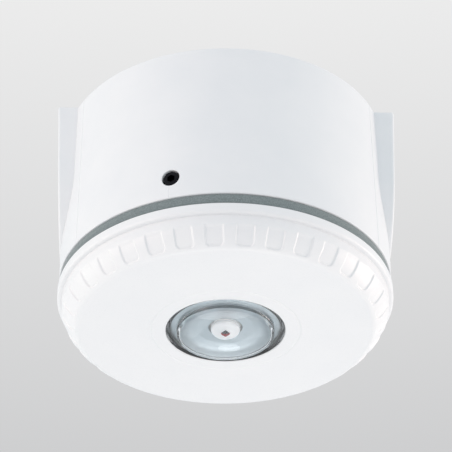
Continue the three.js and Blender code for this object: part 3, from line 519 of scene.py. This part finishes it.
MATERIALS = {
    "housing_white": housing_white(),
    "head_white": head_white(),
    "inner_plastic": surface("inner_plastic", (0.74, 0.75, 0.74), (0.7, 0.71, 0.7), (0.42, 0.56), 0.15, 0.25),
    "terminal_plastic": surface(
        "terminal_plastic", (0.3, 0.33, 0.35), (0.27, 0.3, 0.32), (0.4, 0.55), 0.15, 0.2,
    ),
    "seal_foam": foam(),
    "black_rubber": surface(
        "black_rubber", (0.02, 0.02, 0.022), (0.032, 0.032, 0.034), (0.55, 0.75), 0.25, 0.3,
    ),
    "black_screw": metal("black_screw", (0.012, 0.012, 0.014), (0.02, 0.02, 0.022), (0.28, 0.42)),
    "zinc_screw": metal("zinc_screw", (0.56, 0.57, 0.58), (0.66, 0.66, 0.64), (0.22, 0.38)),
    "contact_metal": metal("contact_metal", (0.72, 0.56, 0.28), (0.78, 0.66, 0.4), (0.2, 0.34)),
    "lens_clear": clear("lens_clear", (0.96, 0.985, 1.0), 1.49, (0.0, 0.025)),
    "reflector_silver": metal(
        "reflector_silver", (0.5, 0.555, 0.585), (0.54, 0.59, 0.615), (0.36, 0.44), 0.3, 0.05,
    ),
    "seal_silicone": surface("seal_silicone", (0.66, 0.69, 0.7), (0.6, 0.63, 0.65), (0.4, 0.55), 0.1, 0.2),
    "optic_resin": clear("optic_resin", (0.98, 0.98, 0.98), 1.42, (0.0, 0.03)),
    "led_ceramic": carrier_white(),
    "led_die_red": die(),
    "white_board": surface("white_board", (0.82, 0.84, 0.83), (0.78, 0.8, 0.79), (0.28, 0.42), 0.12, 0.3),
    "spreader_aluminium": metal("spreader_aluminium", (0.6, 0.61, 0.62), (0.68, 0.69, 0.7), (0.28, 0.45)),
    "wire_red": surface("wire_red", (0.42, 0.03, 0.025), (0.5, 0.05, 0.04), (0.35, 0.5), 0.1, 0.2),
    "wire_black": surface("wire_black", (0.014, 0.014, 0.015), (0.022, 0.022, 0.024), (0.35, 0.5), 0.1, 0.2),
    "green_board": surface(
        "green_board", (0.02, 0.15, 0.065), (0.03, 0.2, 0.09), (0.25, 0.4), 0.15, 0.4, 300,
    ),
    "component_black": surface(
        "component_black", (0.018, 0.019, 0.022), (0.03, 0.031, 0.035), (0.35, 0.5), 0.12, 0.2,
    ),
    "ferrite_grey": surface(
        "ferrite_grey", (0.055, 0.055, 0.057), (0.085, 0.084, 0.083), (0.6, 0.8), 0.3, 0.2,
    ),
    "dip_red": surface("dip_red", (0.42, 0.035, 0.028), (0.5, 0.05, 0.04), (0.35, 0.5), 0.12, 0.2),
    "dip_white": surface("dip_white", (0.84, 0.84, 0.81), (0.8, 0.8, 0.77), (0.35, 0.5), 0.12, 0.2),
}

NODE_SLOTS = {row["node"]: row["material_slot"] for row in frame["record"]["subparts"]}
NODE_BODIES = {
    node: body for body, nodes in frame["record"]["behaviour"]["bodies"].items() for node in nodes
}


def stands_for(obj, node, *others):
    """The piece takes a CAD node's body, slot and material, and hides it."""
    obj.data.materials.clear()
    obj.data.materials.append(MATERIALS[NODE_SLOTS[node]])
    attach(obj, NODE_BODIES[node])
    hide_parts(node, *others)
    return obj


# ---- Base shell ----


def wall_radius(z):
    """Outer radius of the base at a height."""
    return BASE_TOP_RADIUS + (BASE_RIM_RADIUS - BASE_TOP_RADIUS) * (z / BASE_RIM_Z)


def boss_face_x(z):
    return BOSS_FACE_X + math.tan(BOSS_DRAFT) * z


def boss_outline(inset, steps=28):
    """The arch of a boss seen along X, as (y, z) points: top edge, straight sides and round lower end."""
    half = BOSS_HALF_WIDTH - inset
    points = [(half, BOSS_TOP_Z)]
    points += [(half, BOSS_ARCH_Z * k / 6) for k in range(1, 6)]
    for k in range(steps + 1):
        a = math.pi * k / steps
        points.append((half * math.cos(a), BOSS_ARCH_Z - half * math.sin(a)))
    points += [(-half, BOSS_ARCH_Z * k / 6) for k in range(5, 0, -1)]
    points.append((-half, BOSS_TOP_Z))
    return points


def boss(side):
    """A flat drafted pad with a rounded edge, running well into the wall."""
    inner_x = BASE_TOP_RADIUS - BASE_WALL - 4
    loops = []
    loops.append([(inner_x, y, z) for y, z in boss_outline(0)])
    for drop in (BOSS_EDGE + 0.08, BOSS_EDGE):
        loops.append([(boss_face_x(z) - drop, y, z) for y, z in boss_outline(0)])
    for k in range(1, 7):
        a = math.radians(15 * k)
        inset = BOSS_EDGE * (1 - math.cos(a))
        drop = BOSS_EDGE * (1 - math.sin(a))
        loops.append([(boss_face_x(z) - drop, y, z) for y, z in boss_outline(inset)])
    loops.append([(boss_face_x(z), y, z) for y, z in boss_outline(BOSS_EDGE + 0.1)])
    piece = loft("boss", loops)
    return move(piece, turn=about_z(0 if side > 0 else 180))


def slot_tool(y):
    reach = (SLOT_LENGTH - SLOT_WIDTH) / 2
    outline = []
    for centre, start in ((reach, -90), (-reach, 90)):
        for k in range(13):
            a = math.radians(start + 15 * k)
            outline.append((centre + SLOT_WIDTH / 2 * math.cos(a), y + SLOT_WIDTH / 2 * math.sin(a)))
    return loft("slot_tool", [[(x, v, z) for x, v in outline] for z in (-BASE_PLATE - 1, 1)])


def mouthed_hole(name, radius, inner, face, edge, steps=64):
    """A cutter for a hole along Z from inner to face, whose mouth at face is rounded by edge."""
    profile = [(0.0, inner), (radius, inner), (radius, face - edge)]
    for k in range(1, 6):
        a = math.radians(18 * k)
        profile.append((radius + edge * (1 - math.cos(a)), face - edge + edge * math.sin(a)))
    profile += [(radius + edge, face + 3), (0.0, face + 3)]
    return turned(name, profile, steps)


def smooth_wall(obj):
    """Gives the outer wall its true normals, so that cuts through it leave no shading marks.
    The fine mould lines keep their own."""
    mesh = obj.data
    lean = (BASE_RIM_RADIUS - BASE_TOP_RADIUS) / -BASE_RIM_Z
    normals = np.array([c.vector for c in mesh.corner_normals])
    for polygon in mesh.polygons:
        centre = polygon.center / MM
        radius = math.hypot(centre.x, centre.y)
        flat = Vector((centre.x, centre.y, 0)).normalized()
        if abs(radius - wall_radius(centre.z)) > 0.03 or polygon.normal.dot(flat) < 0.998:
            continue
        if any(abs(math.degrees(math.atan2(centre.y, centre.x)) - line) < 0.4 for line in MOULD_LINES_DEG):
            continue
        for loop in polygon.loop_indices:
            co = mesh.vertices[mesh.loops[loop].vertex_index].co
            out = Vector((co.x, co.y, 0)).normalized()
            normals[loop] = (out + Vector((0, 0, lean))).normalized()
    mesh.normals_split_custom_set([tuple(n) for n in normals])


def fine_lines(r, a, lines):
    """Depth from 0 to 1 of narrow grooves that run down a wall at the given angles in degrees."""
    depth = np.zeros_like(r)
    for line in lines:
        depth = np.maximum(depth, 1 - np.abs(a - math.radians(line)) * r / LINE_HALF_WIDTH)
    return depth


def with_lines(steps, lines):
    """Even angles from -180 degrees, with columns added for the grooves."""
    half = LINE_HALF_WIDTH / BASE_RIM_RADIUS
    extra = [math.radians(line) + half * k for line in lines for k in (-1.3, -1, -0.5, 0, 0.5, 1, 1.3)]
    return np.unique(np.concatenate([even_angles(steps) - math.pi, extra]))


def base_shell():
    lock_z = (LOCK_LOW.z + LOCK_HIGH.z) / 2
    profile = rounded([
        (0, 0, 0),
        (BASE_TOP_RADIUS, 0, 0.5),
        (wall_radius(lock_z), lock_z, 0),
        (wall_radius(lock_z - 0.3), lock_z - 0.3, 0),
        (BASE_RIM_RADIUS, BASE_RIM_Z, 0.35),
        (0, BASE_RIM_Z, 0),
    ], closed=False)

    def groove(r, z, a):
        outer = (r > BASE_TOP_RADIUS - 0.6) & (z < -0.3)
        mould = MOULD_LINE_DEPTH * fine_lines(r, a, MOULD_LINES_DEG)
        seam = SEAM_DEPTH * fine_lines(r, a, [SEAM_DEG]) * (z < lock_z)
        return r - np.maximum(mould, seam) * outer, z

    angles = with_lines(288, [*MOULD_LINES_DEG, SEAM_DEG])
    shell = turned("base_housing", profile, displace=groove, angles=angles)
    join(shell, boss(1), boss(-1))
    inner_rim = BASE_RIM_RADIUS - BASE_WALL
    cut(shell, turned("cavity", rounded([
        (0, -BASE_PLATE, 0),
        (BASE_TOP_RADIUS - BASE_WALL, -BASE_PLATE, 1.2),
        (inner_rim, BASE_RIM_Z + 0.3, 0),
        (inner_rim + 0.4, BASE_RIM_Z - 0.1, 0),
        (inner_rim + 0.4, BASE_RIM_Z - 2, 0),
        (0, BASE_RIM_Z - 2, 0),
    ], closed=False), 288))
    for deg in POST_DEG:
        spin = about_z(deg)
        post = turned("post", [(0, -2), (POST_RADIUS, -2), (POST_RADIUS, POST_LOW_Z + 0.3),
                               (POST_RADIUS - 0.3, POST_LOW_Z), (0, POST_LOW_Z)], 64)
        join(shell, move(move(post, (POST_RING_RADIUS, 0, 0)), turn=spin))
        pilot = turned("pilot", [(0, -25.3), (PILOT_RADIUS, -25.3), (PILOT_RADIUS, -37), (0, -37)], 48)
        cut(shell, move(move(pilot, (POST_RING_RADIUS, 0, 0)), turn=spin))
    conduit_z = (PLUG_LOW.z + PLUG_HIGH.z) / 2
    for side in (1, -1):
        hole = mouthed_hole("conduit_hole", CONDUIT_HOLE_RADIUS, 30, boss_face_x(conduit_z), 0.35, 96)
        turn = about_z(0 if side > 0 else 180) @ along_x()
        cut(shell, move(hole, (0, 0, conduit_z), turn))
    cut(shell, slot_tool(SLOT_OFFSET), slot_tool(-SLOT_OFFSET))
    entry = (GROMMET_LOW + GROMMET_HIGH) / 2
    cut(shell, move(mouthed_hole("entry", ENTRY_RADIUS, -BASE_PLATE - 1, 0, 0.3, 96), (entry.x, entry.y, 0)))
    lock = mouthed_hole("lock_hole", LOCK_HOLE_RADIUS, 44, wall_radius(lock_z), 0.22, 72)
    cut(shell, move(lock, (0, 0, lock_z), about_z(LOCK_DEG) @ along_x()))
    sharpen(shell)
    smooth_wall(shell)
    return stands_for(shell, "base_shell")


# ---- Seal, plugs, grommet and locking screw ----


def base_seal():
    """The foam bulges a little where the two rims squeeze it. A fine butt joint shows in its side,
    and a moulded skin line runs round its lower edge."""
    low, high = HEAD_TOP_Z + 0.05, BASE_RIM_Z - 0.05
    middle = (low + high) / 2
    profile = rounded([
        (SEAL_INNER, high, 0.2),
        (SEAL_RADIUS - 0.25, high, 0.3),
        (SEAL_RADIUS, middle, 1.2),
        (SEAL_RADIUS - 0.1, low + 0.62, 0.1),
        (SEAL_RADIUS - 0.22, low + 0.55, 0.05),
        (SEAL_RADIUS - 0.05, low + 0.42, 0.1),
        (SEAL_RADIUS - 0.2, low, 0.25),
        (SEAL_INNER, low, 0.2),
    ])

    def joint(r, z, a):
        return r - SEAL_JOINT_DEPTH * fine_lines(r, a, [SEAM_DEG]) * (r > SEAL_RADIUS - 1), z

    angles = with_lines(288, [SEAM_DEG])
    return stands_for(turned("foam_seal", profile, displace=joint, angles=angles), "base_seal")


def conduit_plug(side):
    """A push-in blanking plug with a shallow recess and a slot for a coin. side is 1 or -1 along X."""
    name = "right" if side > 0 else "left"
    face = PLUG_HIGH.x
    back = PLUG_LOW.x
    radius = CONDUIT_HOLE_RADIUS - FIT_GAP
    flange = radius + PLUG_FLANGE
    half_length, half_width, depth = COIN_SLOT
    profile = rounded([
        (0, face - 0.5, 0),
        (radius - PLUG_RECESS_RIM - 0.4, face - 0.5, 0.3),
        (radius - PLUG_RECESS_RIM, face, 0.25),
        (radius, face, 0.3),
        (radius, back + PLUG_FLANGE_THICKNESS, 0.15),
        (flange, back + PLUG_FLANGE_THICKNESS, 0.3),
        (flange, back, 0.3),
        (0, back, 0),
    ], closed=False)
    plug = turned(f"plug_{name}", profile, 128)
    low, high = (-half_length, -half_width, face - depth), (half_length, half_width, face + 2)
    slot = block("coin_slot", low, high, 0.3)
    sharpen(cut(plug, slot))
    turn = about_z(0 if side > 0 else 180) @ along_x()
    move(plug, (0, 0, (PLUG_LOW.z + PLUG_HIGH.z) / 2), turn)
    return stands_for(plug, f"conduit_plug_{name}")


def grommet():
    """A rubber ring with a flange, in the cable entry of the rear plate."""
    centre = (GROMMET_LOW + GROMMET_HIGH) / 2
    flange = (GROMMET_HIGH.x - GROMMET_LOW.x) / 2
    neck = ENTRY_RADIUS - FIT_GAP
    top, low = GROMMET_HIGH.z, GROMMET_LOW.z
    profile = rounded([
        (GROMMET_BORE, top - 1.4, 0.35),
        (GROMMET_BORE + 1.6, top - 0.9, 0.5),
        (neck - 1.4, top, 0.4),
        (neck, top, 0.4),
        (neck, -BASE_PLATE - 0.1, 0.15),
        (flange, -BASE_PLATE - 0.1, 0.3),
        (flange, low, 0.5),
        (GROMMET_BORE, low, 0.4),
    ])
    obj = turned("entry_grommet", profile, 128)
    return stands_for(move(obj, (centre.x, centre.y, 0)), "cable_grommet")


def locking_screw():
    """A grub screw with a hexagon socket, set a little below the wall."""
    profile = rounded([
        (0, LOCK_OUTER, 0),
        (LOCK_RADIUS - 0.3, LOCK_OUTER, 0.12),
        (LOCK_RADIUS, LOCK_OUTER - 0.35, 0.12),
        (LOCK_RADIUS, LOCK_TIP + 0.9, 0.15),
        (LOCK_RADIUS - 0.8, LOCK_TIP, 0.2),
        (0, LOCK_TIP, 0),
    ], closed=False)
    screw = turned("grub_screw", profile, 96)
    corners = [math.radians(60 * k) for k in range(6)]
    hexagon = [(LOCK_SOCKET * math.cos(a), LOCK_SOCKET * math.sin(a)) for a in corners]
    ends = (LOCK_OUTER - LOCK_SOCKET_DEPTH, LOCK_OUTER + 1)
    socket = loft("socket", [[(x, y, z) for x, y in hexagon] for z in ends])
    sharpen(cut(screw, socket))
    lock_z = (LOCK_LOW.z + LOCK_HIGH.z) / 2
    move(screw, (0, 0, lock_z), about_z(LOCK_DEG) @ along_x())
    return stands_for(screw, "locking_screw")


# ---- Head cover ----


def smooth_step(x):
    x = np.clip(x, 0, 1)
    return x * x * (3 - 2 * x)


FLOOR_SPAN = np.array(POCKET_FLOOR_TOP) - np.array(POCKET_FLOOR_LOW)
FLOOR_UP = FLOOR_SPAN / np.linalg.norm(FLOOR_SPAN)
FLOOR_OUT = np.array([FLOOR_UP[1], -FLOOR_UP[0]])


def pockets(r, z, a):
    """Presses the castellation pockets into the cover. Each leaves the neck without a step, keeps one
    depth down the bevel and ends at the low end in a wall with round corners."""
    pitch = 360 / CASTELLATIONS
    offset = (np.degrees(a) - CASTELLATION_PHASE_DEG + pitch / 2) % pitch - pitch / 2
    across = np.abs(r * np.sin(np.radians(offset)))
    out = r * np.cos(np.radians(offset)) - POCKET_FLOOR_LOW[0]
    up = z - POCKET_FLOOR_LOW[1]
    along = out * FLOOR_UP[0] + up * FLOOR_UP[1]
    above = out * FLOOR_OUT[0] + up * FLOOR_OUT[1]
    side = across - POCKET_HALF_WIDTH + POCKET_CORNER
    down = POCKET_CORNER - along
    outside = np.hypot(np.maximum(side, 0), np.maximum(down, 0)) + np.minimum(np.maximum(side, down), 0)
    wall = smooth_step((POCKET_CORNER - outside) / POCKET_WALL + 0.5)
    top = smooth_step((POCKET_FLOOR_TOP[1] - z) / POCKET_FADE)
    depth = POCKET_DEPTH * wall * top * (r > POCKET_FLOOR_LOW[0] - 2.5) * (np.abs(above) < 1.5)
    return r - depth * FLOOR_OUT[0], z - depth * FLOOR_OUT[1]


def cover_angles():
    """Columns round the cover, close together at the pockets' side walls and corners."""
    half = [0, 0.6, 1.1, 1.5, 1.8, 2.05, 2.25, 2.42, 2.56, 2.69, 2.81, 2.92, 3.03, 3.13, 3.23, 3.33, 3.43]
    half += [3.54, 3.68, 3.9, 4.4]
    pitch = 360 / CASTELLATIONS
    offsets = sorted([-h for h in half[1:]] + half + [pitch / 2])
    degrees = [CASTELLATION_PHASE_DEG + k * pitch + o for k in range(CASTELLATIONS) for o in offsets]
    return np.radians(np.array(sorted(degrees)))


def bevel_point(t):
    """A point of the bevel's curve, a cubic from t = 0 at the neck to t = 1 at the face."""
    p0, p1, p2, p3 = (np.array(p) for p in BEVEL_CURVE)
    return p0 * (1 - t) ** 3 + p1 * 3 * t * (1 - t) ** 2 + p2 * 3 * t * t * (1 - t) + p3 * t ** 3


def bevel_rows():
    """Rows down the bevel, close together where the pockets begin and where they end."""
    neck = [(NECK_RADIUS, -59.7), (NECK_RADIUS - 0.02, -60.6), (NECK_RADIUS - 0.04, -61.3)]
    neck += [(NECK_RADIUS - 0.05, z) for z in np.arange(-61.6, -61.89, -0.07)]
    spans = (np.linspace(0, 0.1, 8), np.linspace(0.14, 0.6, 13), np.linspace(0.62, 0.96, 24), [0.98, 1])
    return [tuple(p) for p in neck] + [tuple(bevel_point(t)) for t in np.concatenate(spans)]


def head_cover():
    """The cover as one turned shell: rim, ledge, neck, bevel, face, a low ring round the lens in a
    shallow groove, the lens hole and the inside."""
    inside_z = FACE_Z + COVER_WALL
    rim = rounded([
        (SPIGOT_OUTER - 1, HEAD_TOP_Z, 0),
        (HEAD_RADIUS, HEAD_TOP_Z, 0.25),
        (HEAD_RADIUS, LEDGE_Z + 0.02, 0.85),
        (NECK_RADIUS, LEDGE_Z - 0.12, 0.55),
        (NECK_RADIUS, LEDGE_Z - 0.65, 0),
    ], closed=False)
    low = rounded([
        (BEVEL_CURVE[-1][0] - 0.4, FACE_Z, 0),
        (LIP_RADIUS + 2 * LIP_GROOVE, FACE_Z, 0.3),
        (LIP_RADIUS + LIP_GROOVE, FACE_Z + LIP_GROOVE_DEPTH, 0.3),
        (LIP_RADIUS, LIP_Z, 0.3),
        (LENS_HOLE_RADIUS, LIP_Z, 0.25),
        (LENS_HOLE_RADIUS, inside_z, 0.2),
        (COVER_CORE_RADIUS, inside_z, 0),
        (SPIGOT_INNER, COVER_CORE_TOP_Z, 0),
        (SPIGOT_INNER, SPIGOT_TOP_Z, 0.3),
        (SPIGOT_OUTER, SPIGOT_TOP_Z, 0.3),
        (SPIGOT_OUTER, HEAD_TOP_Z, 0),
    ], closed=False)
    profile = np.vstack([rim[1:], bevel_rows(), low])
    cover = turned("head_housing", profile, displace=pockets, angles=cover_angles())
    return stands_for(sharpen(cover, 50), "head_cover")


# ---- Lens, reflector and LED ----


def crown(rim_radius, rim_z, apex_z, steps):
    """Points of a shallow crown from its rim to its apex on the axis."""
    rise = apex_z - rim_z
    radii = [rim_radius * (1 - k / steps) for k in range(steps + 1)]
    return [(r, rim_z + rise * (1 - (r / rim_radius) ** 2), 0) for r in radii]


def lens():
    """A clear window of even wall: a flange in the cover's hole and a low crown that stands proud."""
    outer = LENS_HOLE_RADIUS - 0.08
    flange = LENS_HIGH.x
    top = LENS_HIGH.z
    outside = rounded([
        (LENS_INNER + 1, top, 0),
        (flange, top, 0.2),
        (flange, top - LENS_FLANGE, 0.2),
        (outer, top - LENS_FLANGE, 0.15),
        (outer, LIP_Z + 0.06, 0.15),
        (CROWN_RADIUS + 0.1, LIP_Z + 0.05, 0.1),
        (CROWN_RADIUS, LIP_Z - 0.05, 0),
        (CROWN_RADIUS, CROWN_EDGE_Z, 1.2),
        *crown(CROWN_RADIUS - 1.3, CROWN_EDGE_Z - 0.25, LENS_APEX_Z, 32),
    ], closed=False)
    inner_crown = CROWN_RADIUS - CROWN_WALL
    inside = rounded([
        (LENS_INNER + 0.5, top, 0),
        (LENS_INNER, top, 0.2),
        (LENS_INNER, LIP_Z + LENS_WALL, 0.3),
        (inner_crown + 0.1, LIP_Z + LENS_WALL, 0.4),
        (inner_crown, CROWN_EDGE_Z + CROWN_WALL, 0.8),
        *crown(inner_crown - 0.9, CROWN_EDGE_Z + CROWN_WALL - 0.25, LENS_APEX_Z + CROWN_WALL, 28),
    ], closed=False)
    path = np.vstack([outside[::-1], inside])
    return stands_for(turned("lens_crown", path, 224), "lens_window")


def reflector():
    """A satin dish round the LED, with its rim low in the crown and a thin seat flange that slopes
    up and out."""
    profile = rounded([
        (REFLECTOR_BORE, REFLECTOR_TOP_Z - 0.1, 0.1),
        (REFLECTOR_BORE, REFLECTOR_TOP_Z - 0.8, 0.2),
        (8.5, -66.35, 4.0),
        (11.5, -66.95, 4.0),
        (REFLECTOR_RIM - 0.25, REFLECTOR_RIM_Z, 0.1),
        (REFLECTOR_RIM, REFLECTOR_RIM_Z, 0.1),
        (REFLECTOR_RIM, -66.25, 0.1),
        (REFLECTOR_SEAT, REFLECTOR_TOP_Z - 0.05, 0.15),
        (REFLECTOR_SEAT, REFLECTOR_TOP_Z + 0.4, 0.15),
        (11.2, REFLECTOR_TOP_Z, 0.5),
        (8.5, REFLECTOR_TOP_Z - 0.1, 0.2),
    ])
    return stands_for(turned("lens_reflector", profile, 192), "reflector")


def half_dome(radius, base, height, step=6):
    """Points of a dome's outline from its rim to its apex, which hangs below the base."""
    ways = [math.radians(a) for a in range(0, 90, step)]
    side = [(radius * math.cos(a), base - height * math.sin(a), 0) for a in ways]
    return [*side, (0, base - height, 0)]


def led_optic():
    """The clear dome moulded over the LED's chips, on a low round foot."""
    base = OPTIC_HIGH.z
    foot = OPTIC_HIGH.x
    radius = foot - 0.35
    profile = rounded([
        (0, base, 0),
        (foot, base, 0.08),
        (foot, base - 0.5, 0.12),
        (radius, base - 0.5, 0.08),
        (radius, base - DOME_SHOULDER, 0.12),
        *half_dome(radius - 0.03, base - DOME_SHOULDER, OPTIC_HEIGHT - DOME_SHOULDER),
    ], closed=False)
    return stands_for(turned("led_dome", profile, 128), "led_optic")


def merged(obj, *others):
    """One mesh of several separate closed bodies."""
    bm = bmesh.new()
    for part in (obj, *others):
        bm.from_mesh(part.data)
    bm.to_mesh(obj.data)
    bm.free()
    for other in others:
        bpy.data.objects.remove(other)
    obj.data.shade_smooth()
    return obj


def small_parts():
    """The LED package with its white inner dome, and the four chips that stand on it, corner on."""
    low, high = node_box("led_package")
    base = OPTIC_HIGH.z
    carrier = block("led_carrier", low, high, 0.2)
    sunk = low.z + INNER_DOME_RISE
    outline = [(0, sunk), (INNER_DOME_RADIUS, sunk)]
    outline += [(r, z) for r, z, _ in half_dome(INNER_DOME_RADIUS, base - INNER_DOME_RISE, INNER_DOME_HEIGHT)]
    join(carrier, turned("inner_dome", outline, 96))
    stands_for(sharpen(carrier), "led_package")
    chips = []
    top = base - INNER_DOME_HEIGHT + INNER_DOME_RISE
    starts = (-CHIP_SIZE - CHIP_GAP, CHIP_GAP)
    for x in starts:
        for y in starts:
            chips.append(block("chip", (x, y, CHIP_LOW_Z), (x + CHIP_SIZE, y + CHIP_SIZE, top), 0.05))
    chip = merged(*chips)
    chip.name = "led_chip"
    stands_for(move(chip, turn=about_z(45)), "led_die")


# ---- Scene ----


def carried_over():
    """CAD nodes that stay as they are inside the housing take their slot's material."""
    for node, obj in frame["nodes"].items():
        if obj.hide_render:
            continue
        obj.data.materials.clear()
        obj.data.materials.append(MATERIALS[NODE_SLOTS[node]])


CAMERA_PLACE_MM = (-19.84, -550.23, -401.05)
CAMERA_YAW = -1.7
CAMERA_PITCH = 33.955
CAMERA_PAN = 0.332
CAMERA_ROLL = -0.117
CAMERA_LENS = 173.3


def camera():
    """A long lens below the device, looking up at it."""
    data = bpy.data.cameras.new("camera")
    data.lens = CAMERA_LENS
    data.sensor_width = 36
    data.clip_end = 50
    obj = bpy.data.objects.new("camera", data)
    bpy.context.scene.collection.objects.link(obj)
    turn = about_z(CAMERA_YAW) @ Matrix.Rotation(math.radians(90 + CAMERA_PITCH), 4, "X")
    turn = turn @ Matrix.Rotation(math.radians(-CAMERA_PAN), 4, "Y")
    turn = turn @ Matrix.Rotation(math.radians(CAMERA_ROLL), 4, "Z")
    obj.matrix_world = Matrix.Translation(Vector(CAMERA_PLACE_MM) * MM) @ turn
    bpy.context.scene.camera = obj


def softbox(name, place, size, power, colour=(1, 1, 1), shape="RECTANGLE"):
    """An area light in metres, facing the device."""
    data = bpy.data.lights.new(name, "AREA")
    data.shape = shape
    data.size, data.size_y = size
    data.energy = power
    data.color = colour
    obj = bpy.data.objects.new(name, data)
    bpy.context.scene.collection.objects.link(obj)
    target = Vector((0, 0, -0.03))
    obj.location = place
    obj.rotation_euler = (target - Vector(place)).to_track_quat("-Z", "Y").to_euler()
    obj.visible_camera = False


def lights():
    softbox("left_box", (-1.2, -0.75, -0.15), (0.9, 1.0), 5.1, (1, 0.756, 0.69))
    softbox("left_side_box", (-1.4, 0.1, -0.15), (0.9, 1.0), 2.58, (0.956, 1, 0.847))
    softbox("right_side_box", (1.4, 0.15, -0.15), (0.9, 1.0), 8.9, (1, 0.811, 0.712))
    softbox("under_box", (0.05, 0.35, -0.95), (0.75, 0.6), 1.85, (1, 0.963, 0.949))
    softbox("back_left_box", (-0.28, 0.9, -0.85), (0.3, 0.45), 0.16)
    softbox("back_right_box", (0.17, 0.9, -0.85), (0.24, 0.45), 0.13)
    softbox("back_box", (0.07, 1.3, -0.6), (0.15, 0.2), 0.06, (1, 1, 1), "ELLIPSE")


def world():
    """A pale studio surround. Seen directly it fades from near white overhead to light grey below."""
    surround = bpy.data.worlds.new("studio")
    bpy.context.scene.world = surround
    surround.use_nodes = True
    nodes, links = surround.node_tree.nodes, surround.node_tree.links
    output = nodes["World Output"]
    light = nodes["Background"]
    light.inputs["Color"].default_value = (0.769, 0.815, 0.847, 1)
    light.inputs["Strength"].default_value = 1.02
    seen = nodes.new("ShaderNodeBackground")
    place = nodes.new("ShaderNodeTexCoord")
    split = nodes.new("ShaderNodeSeparateXYZ")
    links.new(place.outputs["Generated"], split.inputs["Vector"])
    ramp = nodes.new("ShaderNodeValToRGB")
    low, high = math.sin(math.radians(CAMERA_PITCH - 6)), math.sin(math.radians(CAMERA_PITCH + 6))
    ramp.color_ramp.elements[0].position = low
    ramp.color_ramp.elements[0].color = (0.62, 0.623, 0.63, 1)
    ramp.color_ramp.elements[1].position = high
    ramp.color_ramp.elements[1].color = (0.84, 0.84, 0.84, 1)
    links.new(split.outputs["Z"], ramp.inputs["Fac"])
    links.new(ramp.outputs["Color"], seen.inputs["Color"])
    rays = nodes.new("ShaderNodeLightPath")
    mix = nodes.new("ShaderNodeMixShader")
    links.new(rays.outputs["Is Camera Ray"], mix.inputs["Fac"])
    links.new(light.outputs["Background"], mix.inputs[1])
    links.new(seen.outputs["Background"], mix.inputs[2])
    links.new(mix.outputs["Shader"], output.inputs["Surface"])


FLOOR_HALF = 4.0
FLOOR_Z = -1.1


def floor():
    """A pale floor, in metres, well below the device."""
    mesh = bpy.data.meshes.new("floor")
    corners = [(-1, -1), (1, -1), (1, 1), (-1, 1)]
    mesh.from_pydata([(FLOOR_HALF * x, FLOOR_HALF * y, FLOOR_Z) for x, y in corners], [], [(0, 1, 2, 3)])
    obj = link("floor", mesh)
    obj.data.materials.append(surface("floor", (0.8, 0.8, 0.8), (0.78, 0.78, 0.78), (0.7, 0.9), 0.05, 2.0, 4))


camera()
base_shell()
base_seal()
for side in (1, -1):
    conduit_plug(side)
grommet()
locking_screw()
head_cover()
lens()
reflector()
led_optic()
small_parts()
carried_over()
lights()
world()
floor()
bpy.context.scene.view_settings.view_transform = "Standard"
